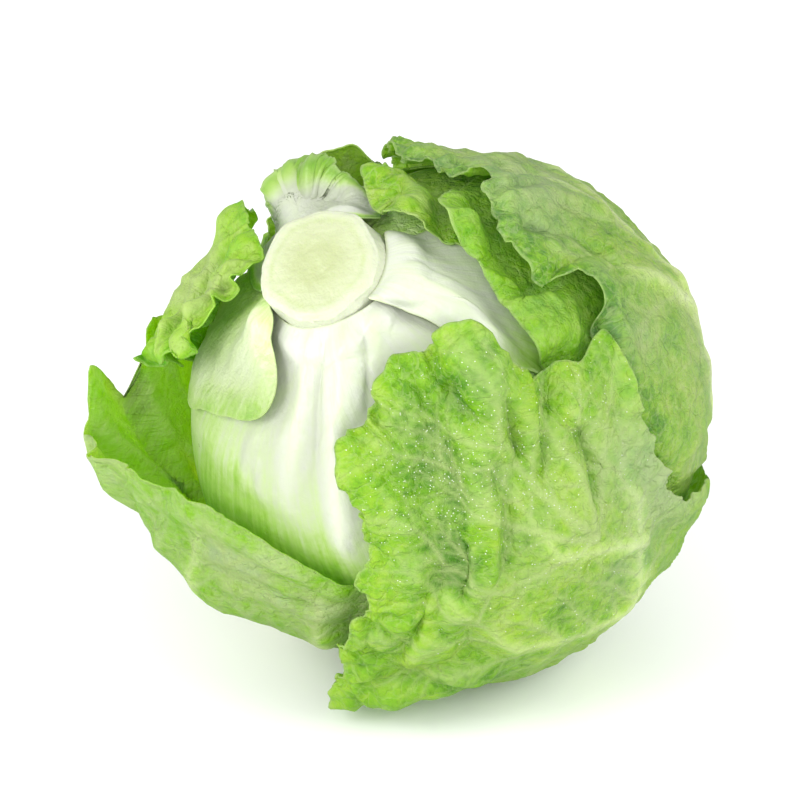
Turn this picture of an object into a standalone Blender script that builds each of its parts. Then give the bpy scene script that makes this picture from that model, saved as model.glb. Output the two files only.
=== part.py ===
"""A head of crisp lettuce, as it lies on a table once its loosest leaves are off.

The head rests on a small flat spot near its far end. The cut stem points up and leans
towards -X and -Y. Every leaf is its own thin sheet, and the sheets lie over each other
like the layers of an onion, the first in LEAVES against the heart and the last outside.

A direction from the middle of the head is given by two angles in degrees: `around` the
stem, from the side that it leans to, and `down` from the stem's cut end. Sizes in the
tables are millimetres. The origin is the middle of the flat spot, and +Z is up.
"""

import math
from dataclasses import dataclass, field

import bmesh
import bpy
import numpy as np
from mathutils.bvhtree import BVHTree

MM = 0.001

STEM_LEAN = 35.5
STEM_HEADING = 225.0
STEM_RADIUS = 17.3
STEM_NECK = 18.0
STEM_TOP = 81.5
STEM_ROOT = 60.0
STEM_SLANT = 10.0
STEM_SLANT_TOWARDS = 68.0
STEM_SHIFT = 2.3
STEM_SHIFT_TOWARDS = -51.0
STEM_BEVEL = 0.9
STEM_SIDES = 40

HEART_RADIUS = 73.5
HEART_FOLD = 1.3
HEART_SIDES = 36
HEART_RINGS = 20
PIT_ANGLE = 15.0
PIT_FLOOR = STEM_ROOT - 0.4

LEAF_THICKNESS = 1.0
LEAF_GAP = 0.6
FLOOR_GAP = 1.2
DRAPE = 9.0
COLLAR_HEIGHT = 2.6
COLLAR_REACH = 9.0
FLAT_DEPTH = 2.4
STEEPEST = 0.6

EASE_CLEARANCE = 0.35
EASE_STEP = 0.3
EASE_ROUNDS = 30

# Where the ball stands out or falls in: around, down, millimetres, reach in degrees.
BULGES = (
    (160, 75, 2.5, 45),
    (100, 105, 1.5, 30),
    (48, 112, 4.0, 28),
    (22, 92, -4.0, 26),
    (0, 0, -2.0, 30),
)

GREEN = (0.30, 0.56, 0.09, 1.0)
PALE_GREEN = (0.62, 0.80, 0.36, 1.0)
WHITE_GREEN = (0.84, 0.90, 0.72, 1.0)
STEM_CREAM = (0.80, 0.84, 0.62, 1.0)


def stem_frame():
    """The unit vectors of the stem, of around = 0 and of around = 90."""
    lean, heading = math.radians(STEM_LEAN), math.radians(STEM_HEADING)
    level = np.array([math.cos(heading), math.sin(heading), 0.0])
    stem = level * math.sin(lean) + np.array([0.0, 0.0, math.cos(lean)])
    zero = level - (level @ stem) * stem
    zero /= np.linalg.norm(zero)
    return stem, zero, np.cross(stem, zero)


STEM, AROUND_0, AROUND_90 = stem_frame()
DOWNWARDS = np.array([[0.0, 0.0, -1.0]])


def direction(around, down):
    """Unit vectors of these angles, one row each."""
    around, down = np.radians(around), np.radians(down)
    side = np.multiply.outer(np.cos(around), AROUND_0) + np.multiply.outer(
        np.sin(around), AROUND_90
    )
    return np.cos(down)[..., None] * STEM + np.sin(down)[..., None] * side


def angle_between(rows, axis):
    return np.degrees(np.arccos(np.clip(rows @ axis, -1.0, 1.0)))


def smooth(t):
    """0 below 0, 1 above 1, and an S between."""
    t = np.clip(t, 0.0, 1.0)
    return t * t * (3.0 - 2.0 * t)


def closed_curve(angles, values, at):
    """A smooth closed curve through values at angles, in radians, read at other angles."""
    turn = 2.0 * math.pi
    a = np.concatenate([angles[-2:] - turn, angles, angles[:2] + turn])
    v = np.concatenate([values[-2:], values, values[:2]])
    slope = np.zeros(len(a))
    slope[1:-1] = (v[2:] - v[:-2]) / (a[2:] - a[:-2])
    at = np.mod(at - angles[0], turn) + angles[0]
    k = np.clip(np.searchsorted(a, at, side="right") - 1, 1, len(a) - 3)
    span = a[k + 1] - a[k]
    t = (at - a[k]) / span
    return (
        v[k] * (1 + 2 * t) * (1 - t) ** 2
        + v[k + 1] * t * t * (3 - 2 * t)
        + slope[k] * span * t * (1 - t) ** 2
        - slope[k + 1] * span * t * t * (1 - t)
    )


def ripples(rows, length, seed):
    """A smooth uneven field from -1 to 1 on the ball, with hills about `length` mm apart."""
    rng = np.random.default_rng(seed)
    waves = 9
    pull = rng.normal(size=(waves, 3))
    pull /= np.linalg.norm(pull, axis=1)[:, None]
    pull *= 2.0 * math.pi * HEART_RADIUS / length
    start = rng.uniform(0.0, 2.0 * math.pi, waves)
    return np.tanh(np.sin(rows @ pull.T + start).sum(-1) / math.sqrt(waves))


def distance_to_line(rows, points):
    """Each row's distance in mm to the line through points, and how far along it, 0 to 1."""
    ends = direction(*np.array(points, float).T)
    best = np.full(rows.shape[:-1], np.inf)
    share = np.zeros(rows.shape[:-1])
    pieces = len(ends) - 1
    for k in range(pieces):
        along = ends[k + 1] - ends[k]
        t = np.clip((rows - ends[k]) @ along / (along @ along), 0.0, 1.0)
        gap = np.linalg.norm(rows - ends[k] - t[..., None] * along, axis=-1)
        share = np.where(gap < best, (k + t) / pieces, share)
        best = np.minimum(best, gap)
    return best * HEART_RADIUS, share


@dataclass
class Fold:
    """A rib, a fold or a groove along a line of (around, down) points."""

    line: tuple
    height: float
    width: float
    tapers: bool = True
    solid: bool = False

    def raise_at(self, rows):
        gap, share = distance_to_line(rows, self.line)
        fade = 1.0 - 0.85 * share if self.tapers else np.ones_like(share)
        return self.height * fade * np.exp(-((gap / (self.width * np.sqrt(fade))) ** 2))


@dataclass
class Leaf:
    """One leaf: a sheet with a cut and waved rim.

    Each rim point is around, down, how far the rim stands off what is below it, and how
    far it waves, in mm. Peel is the share of the leaf that lies close.
    """

    name: str
    middle: tuple
    rim: tuple
    squares: int
    colour: tuple
    waves: int = 9
    peel: float = 0.45
    crinkle: float = 0.7
    notches: float = 1.0
    joined: bool = False
    folds: tuple = field(default_factory=tuple)

    def __post_init__(self):
        self.axis = direction(*self.middle)
        self.up = STEM - (STEM @ self.axis) * self.axis
        self.up /= np.linalg.norm(self.up)
        self.side = np.cross(self.axis, self.up)
        rim = np.array(self.rim, float)
        reach, turn = self.polar(direction(rim[:, 0], rim[:, 1]))
        order = np.argsort(turn)
        self.turns = turn[order]
        self.reaches, self.lifts, self.frills = reach[order], rim[order, 2], rim[order, 3]
        self.seed = sum(ord(letter) for letter in self.name)

    def polar(self, rows):
        """Degrees from the leaf's middle, and the angle round it in radians."""
        turn = np.arctan2(rows @ self.side, rows @ self.up)
        return angle_between(rows, self.axis), turn

    def reach(self, turn):
        """How far the rim is from the middle, in degrees, with cuts where it waves."""
        cut = np.sin(7 * turn + self.seed) * np.sin(16 * turn + 2 * self.seed)
        loose = smooth(closed_curve(self.turns, self.frills, turn) / 3.0)
        return closed_curve(self.turns, self.reaches, turn) + self.notches * loose * cut

    def cover(self, rows):
        """1 where the leaf lies, and 0 beyond the drape of what lies over its rim."""
        away, turn = self.polar(rows)
        outside = np.radians(away - self.reach(turn)) * HEART_RADIUS
        return 1.0 - smooth(outside / DRAPE)

    def lift(self, rows):
        """How far the leaf stands off what is below it, before the leaves over it press it down."""
        away, turn = self.polar(rows)
        share = np.clip(away / self.reach(turn), 0.0, 1.0)
        edge = smooth((share - self.peel) / (1.0 - self.peel))
        wave = 0.5 + 0.5 * np.sin(self.waves * turn + 1.5 * np.sin(3 * turn + self.seed))
        stand = closed_curve(self.turns, self.lifts, turn) * edge
        frill = closed_curve(self.turns, self.frills, turn) * edge**2 * wave
        hills = self.crinkle * (1.0 + ripples(rows, 34.0, self.seed))
        return np.maximum(stand, 0.0) + np.maximum(frill, 0.0) + hills + self.bends(rows)

    def bends(self, rows):
        """What the folds that aren't solid raise, never into what is below."""
        total = np.zeros(rows.shape[:-1])
        for fold in self.folds:
            if not fold.solid:
                total = total + fold.raise_at(rows)
        return np.maximum(total, -0.5 * self.crinkle)

    def thickness(self, rows):
        """The sheet with its ribs, and its thick base where it joins the stem."""
        total = np.zeros(rows.shape[:-1])
        for fold in self.folds:
            if fold.solid:
                total = np.maximum(total, fold.raise_at(rows))
        if self.joined:
            below = angle_between(rows, STEM) - PIT_ANGLE
            total = np.maximum(total, COLLAR_HEIGHT * np.exp(-((below / COLLAR_REACH) ** 2)))
        return total


def heart_radius(rows):
    """The heart's radius, without the pit that holds the stem."""
    radius = np.full(rows.shape[:-1], HEART_RADIUS)
    for around, down, height, reach in BULGES:
        away = angle_between(rows, direction(around, down))
        radius = radius + height * np.exp(-((away / reach) ** 2))
    return radius


# The leaf that faces the front, with the broad white rib below the stem.
FRONT_RIB = Leaf(
    "leaf_front_rib",
    (25, 52),
    (
        (-28, 15.5, 0, 0), (0, 15.2, 0, 0), (30, 15.2, 0, 0), (60, 15.2, 0, 0), (86, 16, 0, 0),
        (92, 36, 0, 0), (86, 60, 0, 0), (70, 84, 0, 0), (40, 98, 0, 0), (5, 99, 0, 0),
        (-28, 88, 0, 0), (-50, 68, 0, 0), (-56, 48, 0, 0), (-50, 27, 0, 0),
    ),
    18,
    WHITE_GREEN,
    crinkle=0.25,
    notches=0.2,
    joined=True,
    folds=(
        Fold(((48, 15), (36, 35), (28, 55), (22, 90)), 4.6, 6.5, solid=True),
        Fold(((18, 15), (14, 40), (8, 75)), 2.2, 6.0, solid=True),
        Fold(((72, 16), (52, 38), (42, 60)), 2.2, 5.0, solid=True),
    ),
)

# The leaf with the slanting rib, right of the stem.
RIGHT_RIB = Leaf(
    "leaf_right_rib",
    (115, 52),
    (
        (89, 16, 0, 0), (91, 25, 1, 0), (92, 34, 1.5, 0), (94, 43, 1.5, 0), (97, 53, 1, 0),
        (94, 67, 0, 0), (98, 82, 0, 0), (114, 92, 0, 0), (132, 86, 0, 0), (148, 66, 0, 0),
        (159, 42, 0, 0), (157, 26, 0, 0), (147, 16, 0, 0), (118, 15.2, 0, 0),
    ),
    16,
    WHITE_GREEN,
    crinkle=0.2,
    notches=0.1,
    joined=True,
    folds=(
        Fold(((112, 15), (104, 32), (103, 50), (104, 84)), 5.0, 8.0, solid=True),
        Fold(((138, 16), (128, 34), (120, 60)), 2.5, 6.0, solid=True),
    ),
)

# The short pale leaf left of the stem.
LEFT_PALE = Leaf(
    "leaf_left_pale",
    (-43, 33),
    (
        (-30, 15.5, 1, 0), (-10, 20, 1.5, 0), (5, 28, 2, 0), (1, 34, 2, 0), (-17, 39, 2, 0),
        (-32, 45, 1.5, 0), (-47, 54, 0, 0), (-66, 56, 0, 0), (-82, 48, 0, 0), (-84, 36, 0, 0),
        (-76, 24, 0, 0), (-60, 16, 0, 0), (-44, 15.2, 0, 0),
    ),
    14,
    PALE_GREEN,
    peel=0.5,
    crinkle=0.8,
    notches=0.5,
    joined=True,
)

# The white based leaf above and left of the stem, with a green rim that stands up.
UPPER_LEFT = Leaf(
    "leaf_upper_left",
    (-116, 33),
    (
        (-64, 15.5, 0, 0), (-96, 15.2, 0, 0), (-126, 15.2, 0, 0), (-156, 15.5, 0, 0),
        (-172, 20, 1, 0), (-166, 23, 2, 1), (-156, 26, 4, 1.5), (-143, 30, 6, 1.5),
        (-132, 37, 7, 1.5), (-122, 43, 9, 2), (-112, 44, 11, 2), (-102, 41, 10, 2),
        (-92, 36, 8, 2), (-84, 31, 6, 2), (-76, 27, 3, 1), (-66, 22, 1, 0),
    ),
    14,
    WHITE_GREEN,
    waves=8,
    peel=0.5,
    crinkle=0.3,
    notches=0.8,
    joined=True,
    folds=(Fold(((-112, 15), (-114, 30), (-118, 50)), 3.5, 8.0, solid=True),),
)

# The crumpled leaf behind the stem.
TOP_CRUMPLED = Leaf(
    "leaf_top_crumpled",
    (172, 31),
    (
        (-172, 17, 1, 0), (174, 16.5, 2, 1), (160, 17, 3, 2), (148, 20, 4, 3), (138, 25, 4, 3),
        (136, 34, 1, 0), (150, 44, 0, 0), (172, 49, 0, 0), (-168, 47, 4, 4), (-158, 40, 6, 4),
        (-154, 32, 5, 3), (-158, 23, 3, 1),
    ),
    14,
    GREEN,
    waves=7,
    peel=0.3,
    crinkle=1.0,
    notches=0.8,
    folds=(
        Fold(((-158, 26), (178, 26), (160, 22)), 3.0, 3.0, tapers=False),
        Fold(((-176, 40), (168, 33), (152, 27)), 3.5, 2.8, tapers=False),
    ),
)

# The bright green leaf whose edge runs down beside the slanting rib.
RIGHT_INNER = Leaf(
    "leaf_right_inner",
    (140, 62),
    (
        (152, 25, 3, 2), (144, 24, 4, 3), (136, 25, 4, 3), (128, 27, 3, 2), (120, 31, 2, 1),
        (109, 37, 2, 1), (100, 47, 3, 2), (97, 60, 0, 0), (102, 80, 0, 0), (120, 97, 0, 0),
        (146, 99, 0, 0), (170, 88, 0, 0), (180, 66, 0, 0), (176, 44, 0, 0), (164, 30, 1, 0),
    ),
    16,
    GREEN,
    waves=11,
    peel=0.6,
    crinkle=0.6,
    notches=0.6,
)

# The leaf that wraps the back of the head.
BACK = Leaf(
    "leaf_back",
    (-118, 88),
    (
        (-112, 56, 3, 2), (-120, 51, 5, 1), (-126, 46, 8, 1), (-133, 43.5, 9, 1),
        (-139, 44, 8, 1), (-143, 48, 3, 1), (-148, 44, 9, 1), (-153, 50, 4, 2),
        (-168, 62, 1, 1), (176, 80, 0, 0),
        (-176, 104, 0, 0), (-164, 126, 0, 0), (-130, 134, 0, 0), (-92, 130, 0, 0),
        (-72, 114, 0, 0), (-64, 92, 0, 0), (-70, 70, 0, 0), (-86, 60, 2, 3), (-102, 57, 2, 3),
    ),
    16,
    PALE_GREEN,
    waves=17,
    peel=0.7,
    crinkle=0.7,
    notches=1.4,
    folds=(
        Fold(((-112, 128), (-116, 96), (-122, 56)), 2.4, 6.0, solid=True),
        Fold(((-115, 104), (-134, 82), (-142, 62)), 1.4, 4.0, solid=True),
        Fold(((-115, 100), (-98, 82), (-92, 64)), 1.4, 4.0, solid=True),
    ),
)

# The dull green leaf over the right side and much of the back.
RIGHT_OUTER = Leaf(
    "leaf_right_outer",
    (158, 82),
    (
        (-154, 40, 3, 3), (-165, 35, 3, 3), (-176, 34, 3, 3), (172, 33, 3, 3), (161, 36, 4, 3),
        (150, 33, 2, 2), (134, 35, 1.5, 2), (124, 39, 1.5, 2), (117, 44, 2, 1), (121, 47.5, 4, 1),
        (124, 51, 5, 1), (119, 54.5, 5, 1), (112, 58, 3, 1), (106, 68, 0, 0), (99, 84, 0, 0),
        (98, 100, 0, 0), (104, 114, 0, 0), (128, 128, 0, 0), (170, 132, 0, 0), (-150, 122, 2, 2),
        (-137, 104, 2, 3), (-136, 80, 2, 3), (-143, 57, 2, 3),
    ),
    22,
    GREEN,
    waves=19,
    peel=0.72,
    crinkle=0.8,
    notches=1.5,
    folds=(
        Fold(((122, 98), (142, 78), (162, 58), (174, 38)), 2.0, 4.5, solid=True),
        Fold(((136, 85), (134, 66), (130, 44)), 1.4, 3.5, solid=True),
        Fold(((150, 70), (176, 64), (-160, 52)), 1.4, 3.5, solid=True),
        Fold(((132, 90), (168, 92), (-156, 88)), 1.4, 3.5, solid=True),
        Fold(((140, 80), (128, 62), (118, 50)), 1.2, 4.0),
    ),
)

# The frilled edge of a leaf that shows between the pale leaf and the loose one.
LEFT_FRILL = Leaf(
    "leaf_left_frill",
    (-76, 42),
    (
        (-82, 18, 1, 1), (-68, 20, 2, 2), (-55, 23, 2, 3), (-44, 28, 3, 3), (-39, 33, 3, 3),
        (-44, 40, 4, 3), (-50, 48, 5, 3), (-58, 56, 4, 2), (-72, 62, 2, 0), (-88, 62, 2, 0),
        (-102, 54, 3, 1), (-107, 44, 4, 1), (-104, 34, 4, 1), (-95, 25, 3, 1),
    ),
    18,
    GREEN,
    waves=8,
    peel=0.25,
    crinkle=1.0,
    notches=1.0,
    folds=(
        Fold(((-54, 49), (-66, 49), (-76, 46), (-88, 42), (-98, 39)), 8.5, 8.0, tapers=False),
        Fold(((-48, 36), (-62, 34), (-76, 30), (-86, 26)), 4.0, 3.4, tapers=False),
    ),
)

# The loose leaf that stands off the head on the lower left like a cup.
LOOSE = Leaf(
    "leaf_loose_left",
    (-38, 102),
    (
        (32, 77, 1, 0), (22, 66, 4, 0), (6, 57, 7, 0), (-9, 55, 9, 1), (-24, 56, 13, 2),
        (-35, 59, 20, 3), (-42, 63, 27, 4), (-47, 61.5, 30, 3), (-51, 60.5, 29, 2),
        (-55.5, 55, 27, 1), (-58.5, 65, 21, 2), (-61.5, 61, 18, 2), (-65, 57, 15, 3),
        (-71, 55.5, 11, 3), (-80, 62, 7, 3), (-92, 72, 5, 3), (-104, 82, 4, 3),
        (-110, 94, 2, 3), (-104, 112, 2, 2), (-82, 126, 0, 0), (-36, 132, 0, 0),
        (10, 124, 0, 0), (32, 106, 0, 0), (38, 90, 0, 0),
    ),
    22,
    PALE_GREEN,
    waves=21,
    peel=-0.15,
    crinkle=0.6,
    notches=1.6,
    folds=(
        Fold(((-30, 130), (-36, 100), (-46, 66)), 2.2, 5.0, solid=True),
        Fold(((-34, 108), (-60, 88), (-76, 66)), 1.4, 3.5, solid=True),
        Fold(((-34, 104), (-18, 84), (-14, 62)), 1.4, 3.5, solid=True),
        Fold(((-28, 108), (8, 92), (18, 72)), 1.2, 3.5, solid=True),
        Fold(((-26, 77), (-16, 83)), 10.5, 12.0, tapers=False),
        Fold(((-2, 85), (18, 91)), 5.0, 12.0, tapers=False),
    ),
)

# The torn outer leaf across the front and under the head. It carries the head.
FRONT_OUTER = Leaf(
    "leaf_front_outer",
    (66, 94),
    (
        (113, 58, 1.5, 0), (104, 56, 1, 0), (99, 51, 1.5, 0), (93, 49, 2, 1), (90, 43, 3, 2),
        (91, 34, 4, 2), (80, 30, 4, 2), (68, 28, 3, 2), (61, 28, 3, 2), (51, 31, 3, 3),
        (45, 36, 3, 3), (37, 38, 5, 3), (36, 44, 4, 3), (38, 51, 3, 3), (37, 57, 3, 3),
        (32, 65, 3, 3), (27, 75, 3, 3), (20, 84, 3, 3), (14, 94, 6, 3), (7, 105, 10, 3),
        (4, 112, 6, 2), (-8, 124, 0, 0), (-28, 140, 0, 0), (-60, 156, 0, 0),
        (170, 160, 0, 0), (140, 140, 1, 2), (120, 122, 1, 2), (104, 104, 1, 1.5),
        (97, 95, 1, 1.5), (98, 86, 1, 1.5), (101, 74, 1.5, 2), (106, 66, 1.5, 2),
    ),
    24,
    GREEN,
    waves=18,
    peel=0.6,
    crinkle=0.9,
    notches=1.6,
    folds=(
        Fold(((91, 33), (78, 44), (66, 58), (54, 74), (36, 88)), 4.0, 5.0, tapers=False),
        Fold(((37, 42), (44, 56), (40, 70), (30, 84)), 2.5, 4.0, tapers=False),
        Fold(((86, 40), (84, 46)), 4.5, 7.0, tapers=False),
        Fold(((88, 50), (84, 62)), -2.2, 2.6, tapers=False),
        Fold(((94, 54), (88, 72)), -2.4, 2.8, tapers=False),
        Fold(((24, 103), (38, 103)), 6.5, 8.0, tapers=False),
        Fold(((60, 136), (78, 112), (90, 88), (94, 58)), 1.8, 4.5, solid=True),
        Fold(((76, 114), (52, 98), (46, 76)), 1.2, 3.5, solid=True),
        Fold(((86, 98), (70, 80), (70, 52)), 1.2, 3.5, solid=True),
    ),
)

LEAVES = (
    FRONT_RIB, RIGHT_RIB, LEFT_PALE, UPPER_LEFT, TOP_CRUMPLED, RIGHT_INNER, BACK,
    RIGHT_OUTER, LEFT_FRILL, LOOSE, FRONT_OUTER,
)


def free_share(index, rows):
    """1 where nothing lies over this leaf, and 0 under any other leaf."""
    share = np.ones(rows.shape[:-1])
    for leaf in LEAVES[index + 1 :]:
        share = share * (1.0 - leaf.cover(rows))
    return share


def sheet_radii(index, rows):
    """The radius of this leaf's inner face and its thickness, in mm, along these rows."""
    radius = heart_radius(rows)
    for k, leaf in enumerate(LEAVES[:index]):
        free = free_share(k, rows)
        body = LEAF_THICKNESS + LEAF_GAP + free * (leaf.lift(rows) + leaf.thickness(rows))
        radius = radius + leaf.cover(rows) * body
    leaf = LEAVES[index]
    free = free_share(index, rows)
    inner = radius + LEAF_GAP + free * leaf.lift(rows)
    return inner, LEAF_THICKNESS + free * leaf.thickness(rows)


def middle_height():
    """How high the middle of the head is over the table once the flat spot is pressed in."""
    inner, thickness = sheet_radii(len(LEAVES) - 1, DOWNWARDS)
    return float(inner[0] + thickness[0]) - FLAT_DEPTH


MIDDLE_HEIGHT = middle_height()


def seated(points, clearance):
    """Points in mm from the middle of the head, moved to the table's frame and kept above it."""
    points = points + np.array([0.0, 0.0, MIDDLE_HEIGHT])
    points[..., 2] = np.maximum(points[..., 2], clearance)
    return points


def round_grid(squares):
    """A square grid bent into a disc: the share of the way to the rim, and the angle."""
    a, b = np.meshgrid(np.linspace(-1, 1, squares + 1), np.linspace(-1, 1, squares + 1))
    wide = np.abs(a) > np.abs(b)
    long = np.where(wide, a, b)
    ratio = np.divide(np.where(wide, b, a), long, out=np.zeros_like(long), where=long != 0)
    turn = np.where(wide, math.pi / 4 * ratio, math.pi / 2 - math.pi / 4 * ratio)
    turn = np.where(long < 0, turn + math.pi, turn)
    return np.abs(long), turn


def unit(vectors):
    return vectors / np.maximum(np.linalg.norm(vectors, axis=-1), 1e-9)[..., None]


def thickening_directions(points, rows):
    """The way a grid of points thickens: its normals, evened out and kept near the rows."""
    normal = unit(np.cross(np.gradient(points, axis=1), np.gradient(points, axis=0)))
    normal = normal * np.where((normal * rows).sum(-1) < 0, -1.0, 1.0)[..., None]
    framed = np.pad(normal, ((1, 1), (1, 1), (0, 0)), mode="edge")
    evened = framed[:-2, 1:-1] + framed[2:, 1:-1] + framed[1:-1, :-2] + framed[1:-1, 2:]
    return unit(unit(2.0 * normal + evened) * STEEPEST + rows * (1.0 - STEEPEST))


def sheet_points(index):
    """The inner and outer face of a leaf as two grids of points in mm."""
    leaf = LEAVES[index]
    share, turn = round_grid(leaf.squares)
    away = np.radians(share * leaf.reach(turn))
    level = np.cos(turn)[..., None] * leaf.up + np.sin(turn)[..., None] * leaf.side
    rows = np.cos(away)[..., None] * leaf.axis + np.sin(away)[..., None] * level
    radius, thickness = sheet_radii(index, rows)
    inner = radius[..., None] * rows
    outer = inner + thickness[..., None] * thickening_directions(inner, rows)
    above = int(sum(other.cover(DOWNWARDS)[0] > 0.5 for other in LEAVES[index + 1 :]))
    clearance = above * (LEAF_THICKNESS + LEAF_GAP)
    return rows, seated(inner, clearance + LEAF_THICKNESS), seated(outer, clearance)


def sheet_triangles(squares):
    """Triangles of a leaf's points, its inner grid first: both faces split alike, then the rim."""
    side = squares + 1
    faces = []
    for i in range(squares):
        for j in range(squares):
            a, b, c, d = i * side + j, i * side + j + 1, (i + 1) * side + j + 1, (i + 1) * side + j
            if (i < squares / 2) == (j < squares / 2):
                faces += [(a, b, c), (a, c, d)]
            else:
                faces += [(a, b, d), (b, c, d)]
    faces += [tuple(k + side * side for k in face) for face in faces]
    rim = [j for j in range(squares)] + [i * side + squares for i in range(squares)]
    rim += [squares * side + j for j in range(squares, 0, -1)]
    rim += [i * side for i in range(squares, 0, -1)]
    for a, b in zip(rim, rim[1:] + rim[:1]):
        faces += [(a, b, b + side * side), (a, b + side * side, a + side * side)]
    return faces


def eased_leaf(index, below):
    """A leaf's points and triangles, raised a little wherever it would cut what lies below."""
    rows, inner, outer = sheet_points(index)
    faces = sheet_triangles(LEAVES[index].squares)
    count = rows[..., 0].size
    raised = np.zeros(rows.shape[:2])
    for _ in range(EASE_ROUNDS):
        low = (inner + (raised - EASE_CLEARANCE)[..., None] * rows).reshape(-1, 3)
        high = (outer + raised[..., None] * rows).reshape(-1, 3)
        tree = BVHTree.FromPolygons(np.concatenate([low, high]).tolist(), faces)
        cutting = {face for other in below for face, _ in tree.overlap(other)}
        if not cutting:
            break
        corners = {corner % count for face in cutting for corner in faces[face]}
        raised.flat[sorted(corners)] += EASE_STEP
        framed = np.pad(raised, 1, mode="edge")
        around = (framed[:-2, 1:-1] + framed[2:, 1:-1] + framed[1:-1, :-2] + framed[1:-1, 2:]) / 4.0
        raised = np.maximum(raised, 0.8 * around)
    low = (inner + raised[..., None] * rows).reshape(-1, 3)
    high = (outer + raised[..., None] * rows).reshape(-1, 3)
    low[:, 2] = np.maximum(low[:, 2], LEAF_THICKNESS)
    high[:, 2] = np.maximum(high[:, 2], 0.0)
    return np.concatenate([low, high]), faces


def material(name, colour, roughness):
    made = bpy.data.materials.new(name)
    made.use_nodes = True
    shader = made.node_tree.nodes["Principled BSDF"]
    shader.inputs["Base Color"].default_value = colour
    shader.inputs["Roughness"].default_value = roughness
    shader.inputs["Metallic"].default_value = 0.0
    made.diffuse_color = colour
    return made


def add_object(name, mesh_data, colour, roughness=0.45):
    """Makes a node from a bmesh in mm, smooth, with faces pointing out."""
    bmesh.ops.recalc_face_normals(mesh_data, faces=mesh_data.faces)
    bmesh.ops.scale(mesh_data, vec=(MM, MM, MM), verts=mesh_data.verts)
    mesh = bpy.data.meshes.new(name)
    mesh_data.to_mesh(mesh)
    mesh_data.free()
    mesh.shade_smooth()
    made = bpy.data.objects.new(name, mesh)
    mesh.materials.append(material(name, colour, roughness))
    bpy.context.scene.collection.objects.link(made)
    return made


def add_leaf(index, below):
    """A leaf as one closed sheet over everything below it."""
    points, faces = eased_leaf(index, below)
    sheet = bmesh.new()
    corners = [sheet.verts.new(point) for point in points]
    for face in faces:
        sheet.faces.new([corners[k] for k in face])
    below.append(BVHTree.FromBMesh(sheet))
    return add_object(LEAVES[index].name, sheet, LEAVES[index].colour)


def turned(rings, sides):
    """A closed bmesh through rings of points, each a (sides, 3) array, with a point at both ends."""
    body = bmesh.new()
    loops = [[body.verts.new(point) for point in ring] for ring in rings[1:-1]]
    first, last = body.verts.new(rings[0]), body.verts.new(rings[-1])
    for k in range(sides):
        n = (k + 1) % sides
        body.faces.new((first, loops[0][k], loops[0][n]))
        body.faces.new((last, loops[-1][n], loops[-1][k]))
        for upper, lower in zip(loops, loops[1:]):
            body.faces.new((upper[k], lower[k], lower[n]))
            body.faces.new((upper[k], lower[n], upper[n]))
    return body


def add_heart(below):
    """The packed inner leaves: a ball with low folds along its leaves, and a pit for the stem."""
    around = np.linspace(0.0, 360.0, HEART_SIDES, endpoint=False)
    rings = [PIT_FLOOR * STEM]
    wall = [(PIT_ANGLE - 0.6, PIT_FLOOR), (PIT_ANGLE, None)]
    downs = np.linspace(PIT_ANGLE + 5.0, 174.0, HEART_RINGS)
    for down, radius in wall + [(down, None) for down in downs]:
        rows = direction(around, np.full(HEART_SIDES, down))
        wrapped = np.mod(around / 120.0 + down / 90.0, 1.0)
        fold = HEART_FOLD * smooth((down - PIT_ANGLE) / 30.0) * (1.0 - smooth(wrapped * 4.0))
        radii = np.full(HEART_SIDES, radius) if radius else heart_radius(rows) - fold
        rings.append(radii[:, None] * rows)
    rings.append(heart_radius(-STEM[None])[0] * -STEM)
    clearance = LEAF_THICKNESS + FLOOR_GAP
    body = turned([seated(ring, clearance) for ring in rings], HEART_SIDES)
    below.append(BVHTree.FromBMesh(body))
    return add_object("heart", body, PALE_GREEN)


def shift(height):
    """How far the stem has grown sideways at this height, as a vector in mm."""
    grown = smooth((height - STEM_ROOT - 6.0) / (STEM_TOP - STEM_ROOT - 6.0))
    return STEM_SHIFT * float(grown) * direction(STEM_SHIFT_TOWARDS, 90.0)


def add_stem(below):
    """The cut stem: a plug with a slanting, slightly domed cut and a bevelled rim."""
    around = np.linspace(0.0, 2.0 * math.pi, STEM_SIDES, endpoint=False)
    out = np.multiply.outer(np.cos(around), AROUND_0) + np.multiply.outer(np.sin(around), AROUND_90)
    scars = 1.0 - 0.025 * np.cos(5.0 * around) - 0.012 * np.cos(9.0 * around + 1.0)
    towards = math.radians(STEM_SLANT_TOWARDS)
    fall = math.tan(math.radians(STEM_SLANT)) * np.cos(around - towards)

    def ring(radius, height, slanted):
        reach = radius * scars
        top = height - slanted * reach * fall
        return reach[:, None] * out + top[:, None] * STEM + shift(height)

    rings = [
        STEM_ROOT * STEM,
        ring(0.8 * STEM_RADIUS, STEM_ROOT, 0.0),
        ring(0.9 * STEM_RADIUS, STEM_ROOT + 6.0, 0.0),
        ring(STEM_NECK, HEART_RADIUS + 1.0, 0.0),
        ring(STEM_RADIUS, STEM_TOP - STEM_BEVEL, 1.0),
        ring(STEM_RADIUS - STEM_BEVEL, STEM_TOP, 1.0),
        ring(STEM_RADIUS * 0.55, STEM_TOP + 0.35, 1.0),
        (STEM_TOP + 0.5) * STEM + shift(STEM_TOP),
    ]
    body = turned([seated(r, 0.0) for r in rings], STEM_SIDES)
    below.append(BVHTree.FromBMesh(body))
    return add_object("stem", body, STEM_CREAM, 0.4)


def main():
    for old in list(bpy.data.objects):
        bpy.data.objects.remove(old)
    below = []
    add_stem(below)
    add_heart(below)
    for index in range(len(LEAVES)):
        add_leaf(index, below)


main()
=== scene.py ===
"""The visible pieces of a head of crisp lettuce, laid over its fixed frame.

A direction from the middle of the head is given by two angles in degrees: `around` the
stem, from the side that it leans to, and `down` from the stem's cut end. Tables and the
arrays of points are in millimetres, and the finished meshes in metres.
"""

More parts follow.
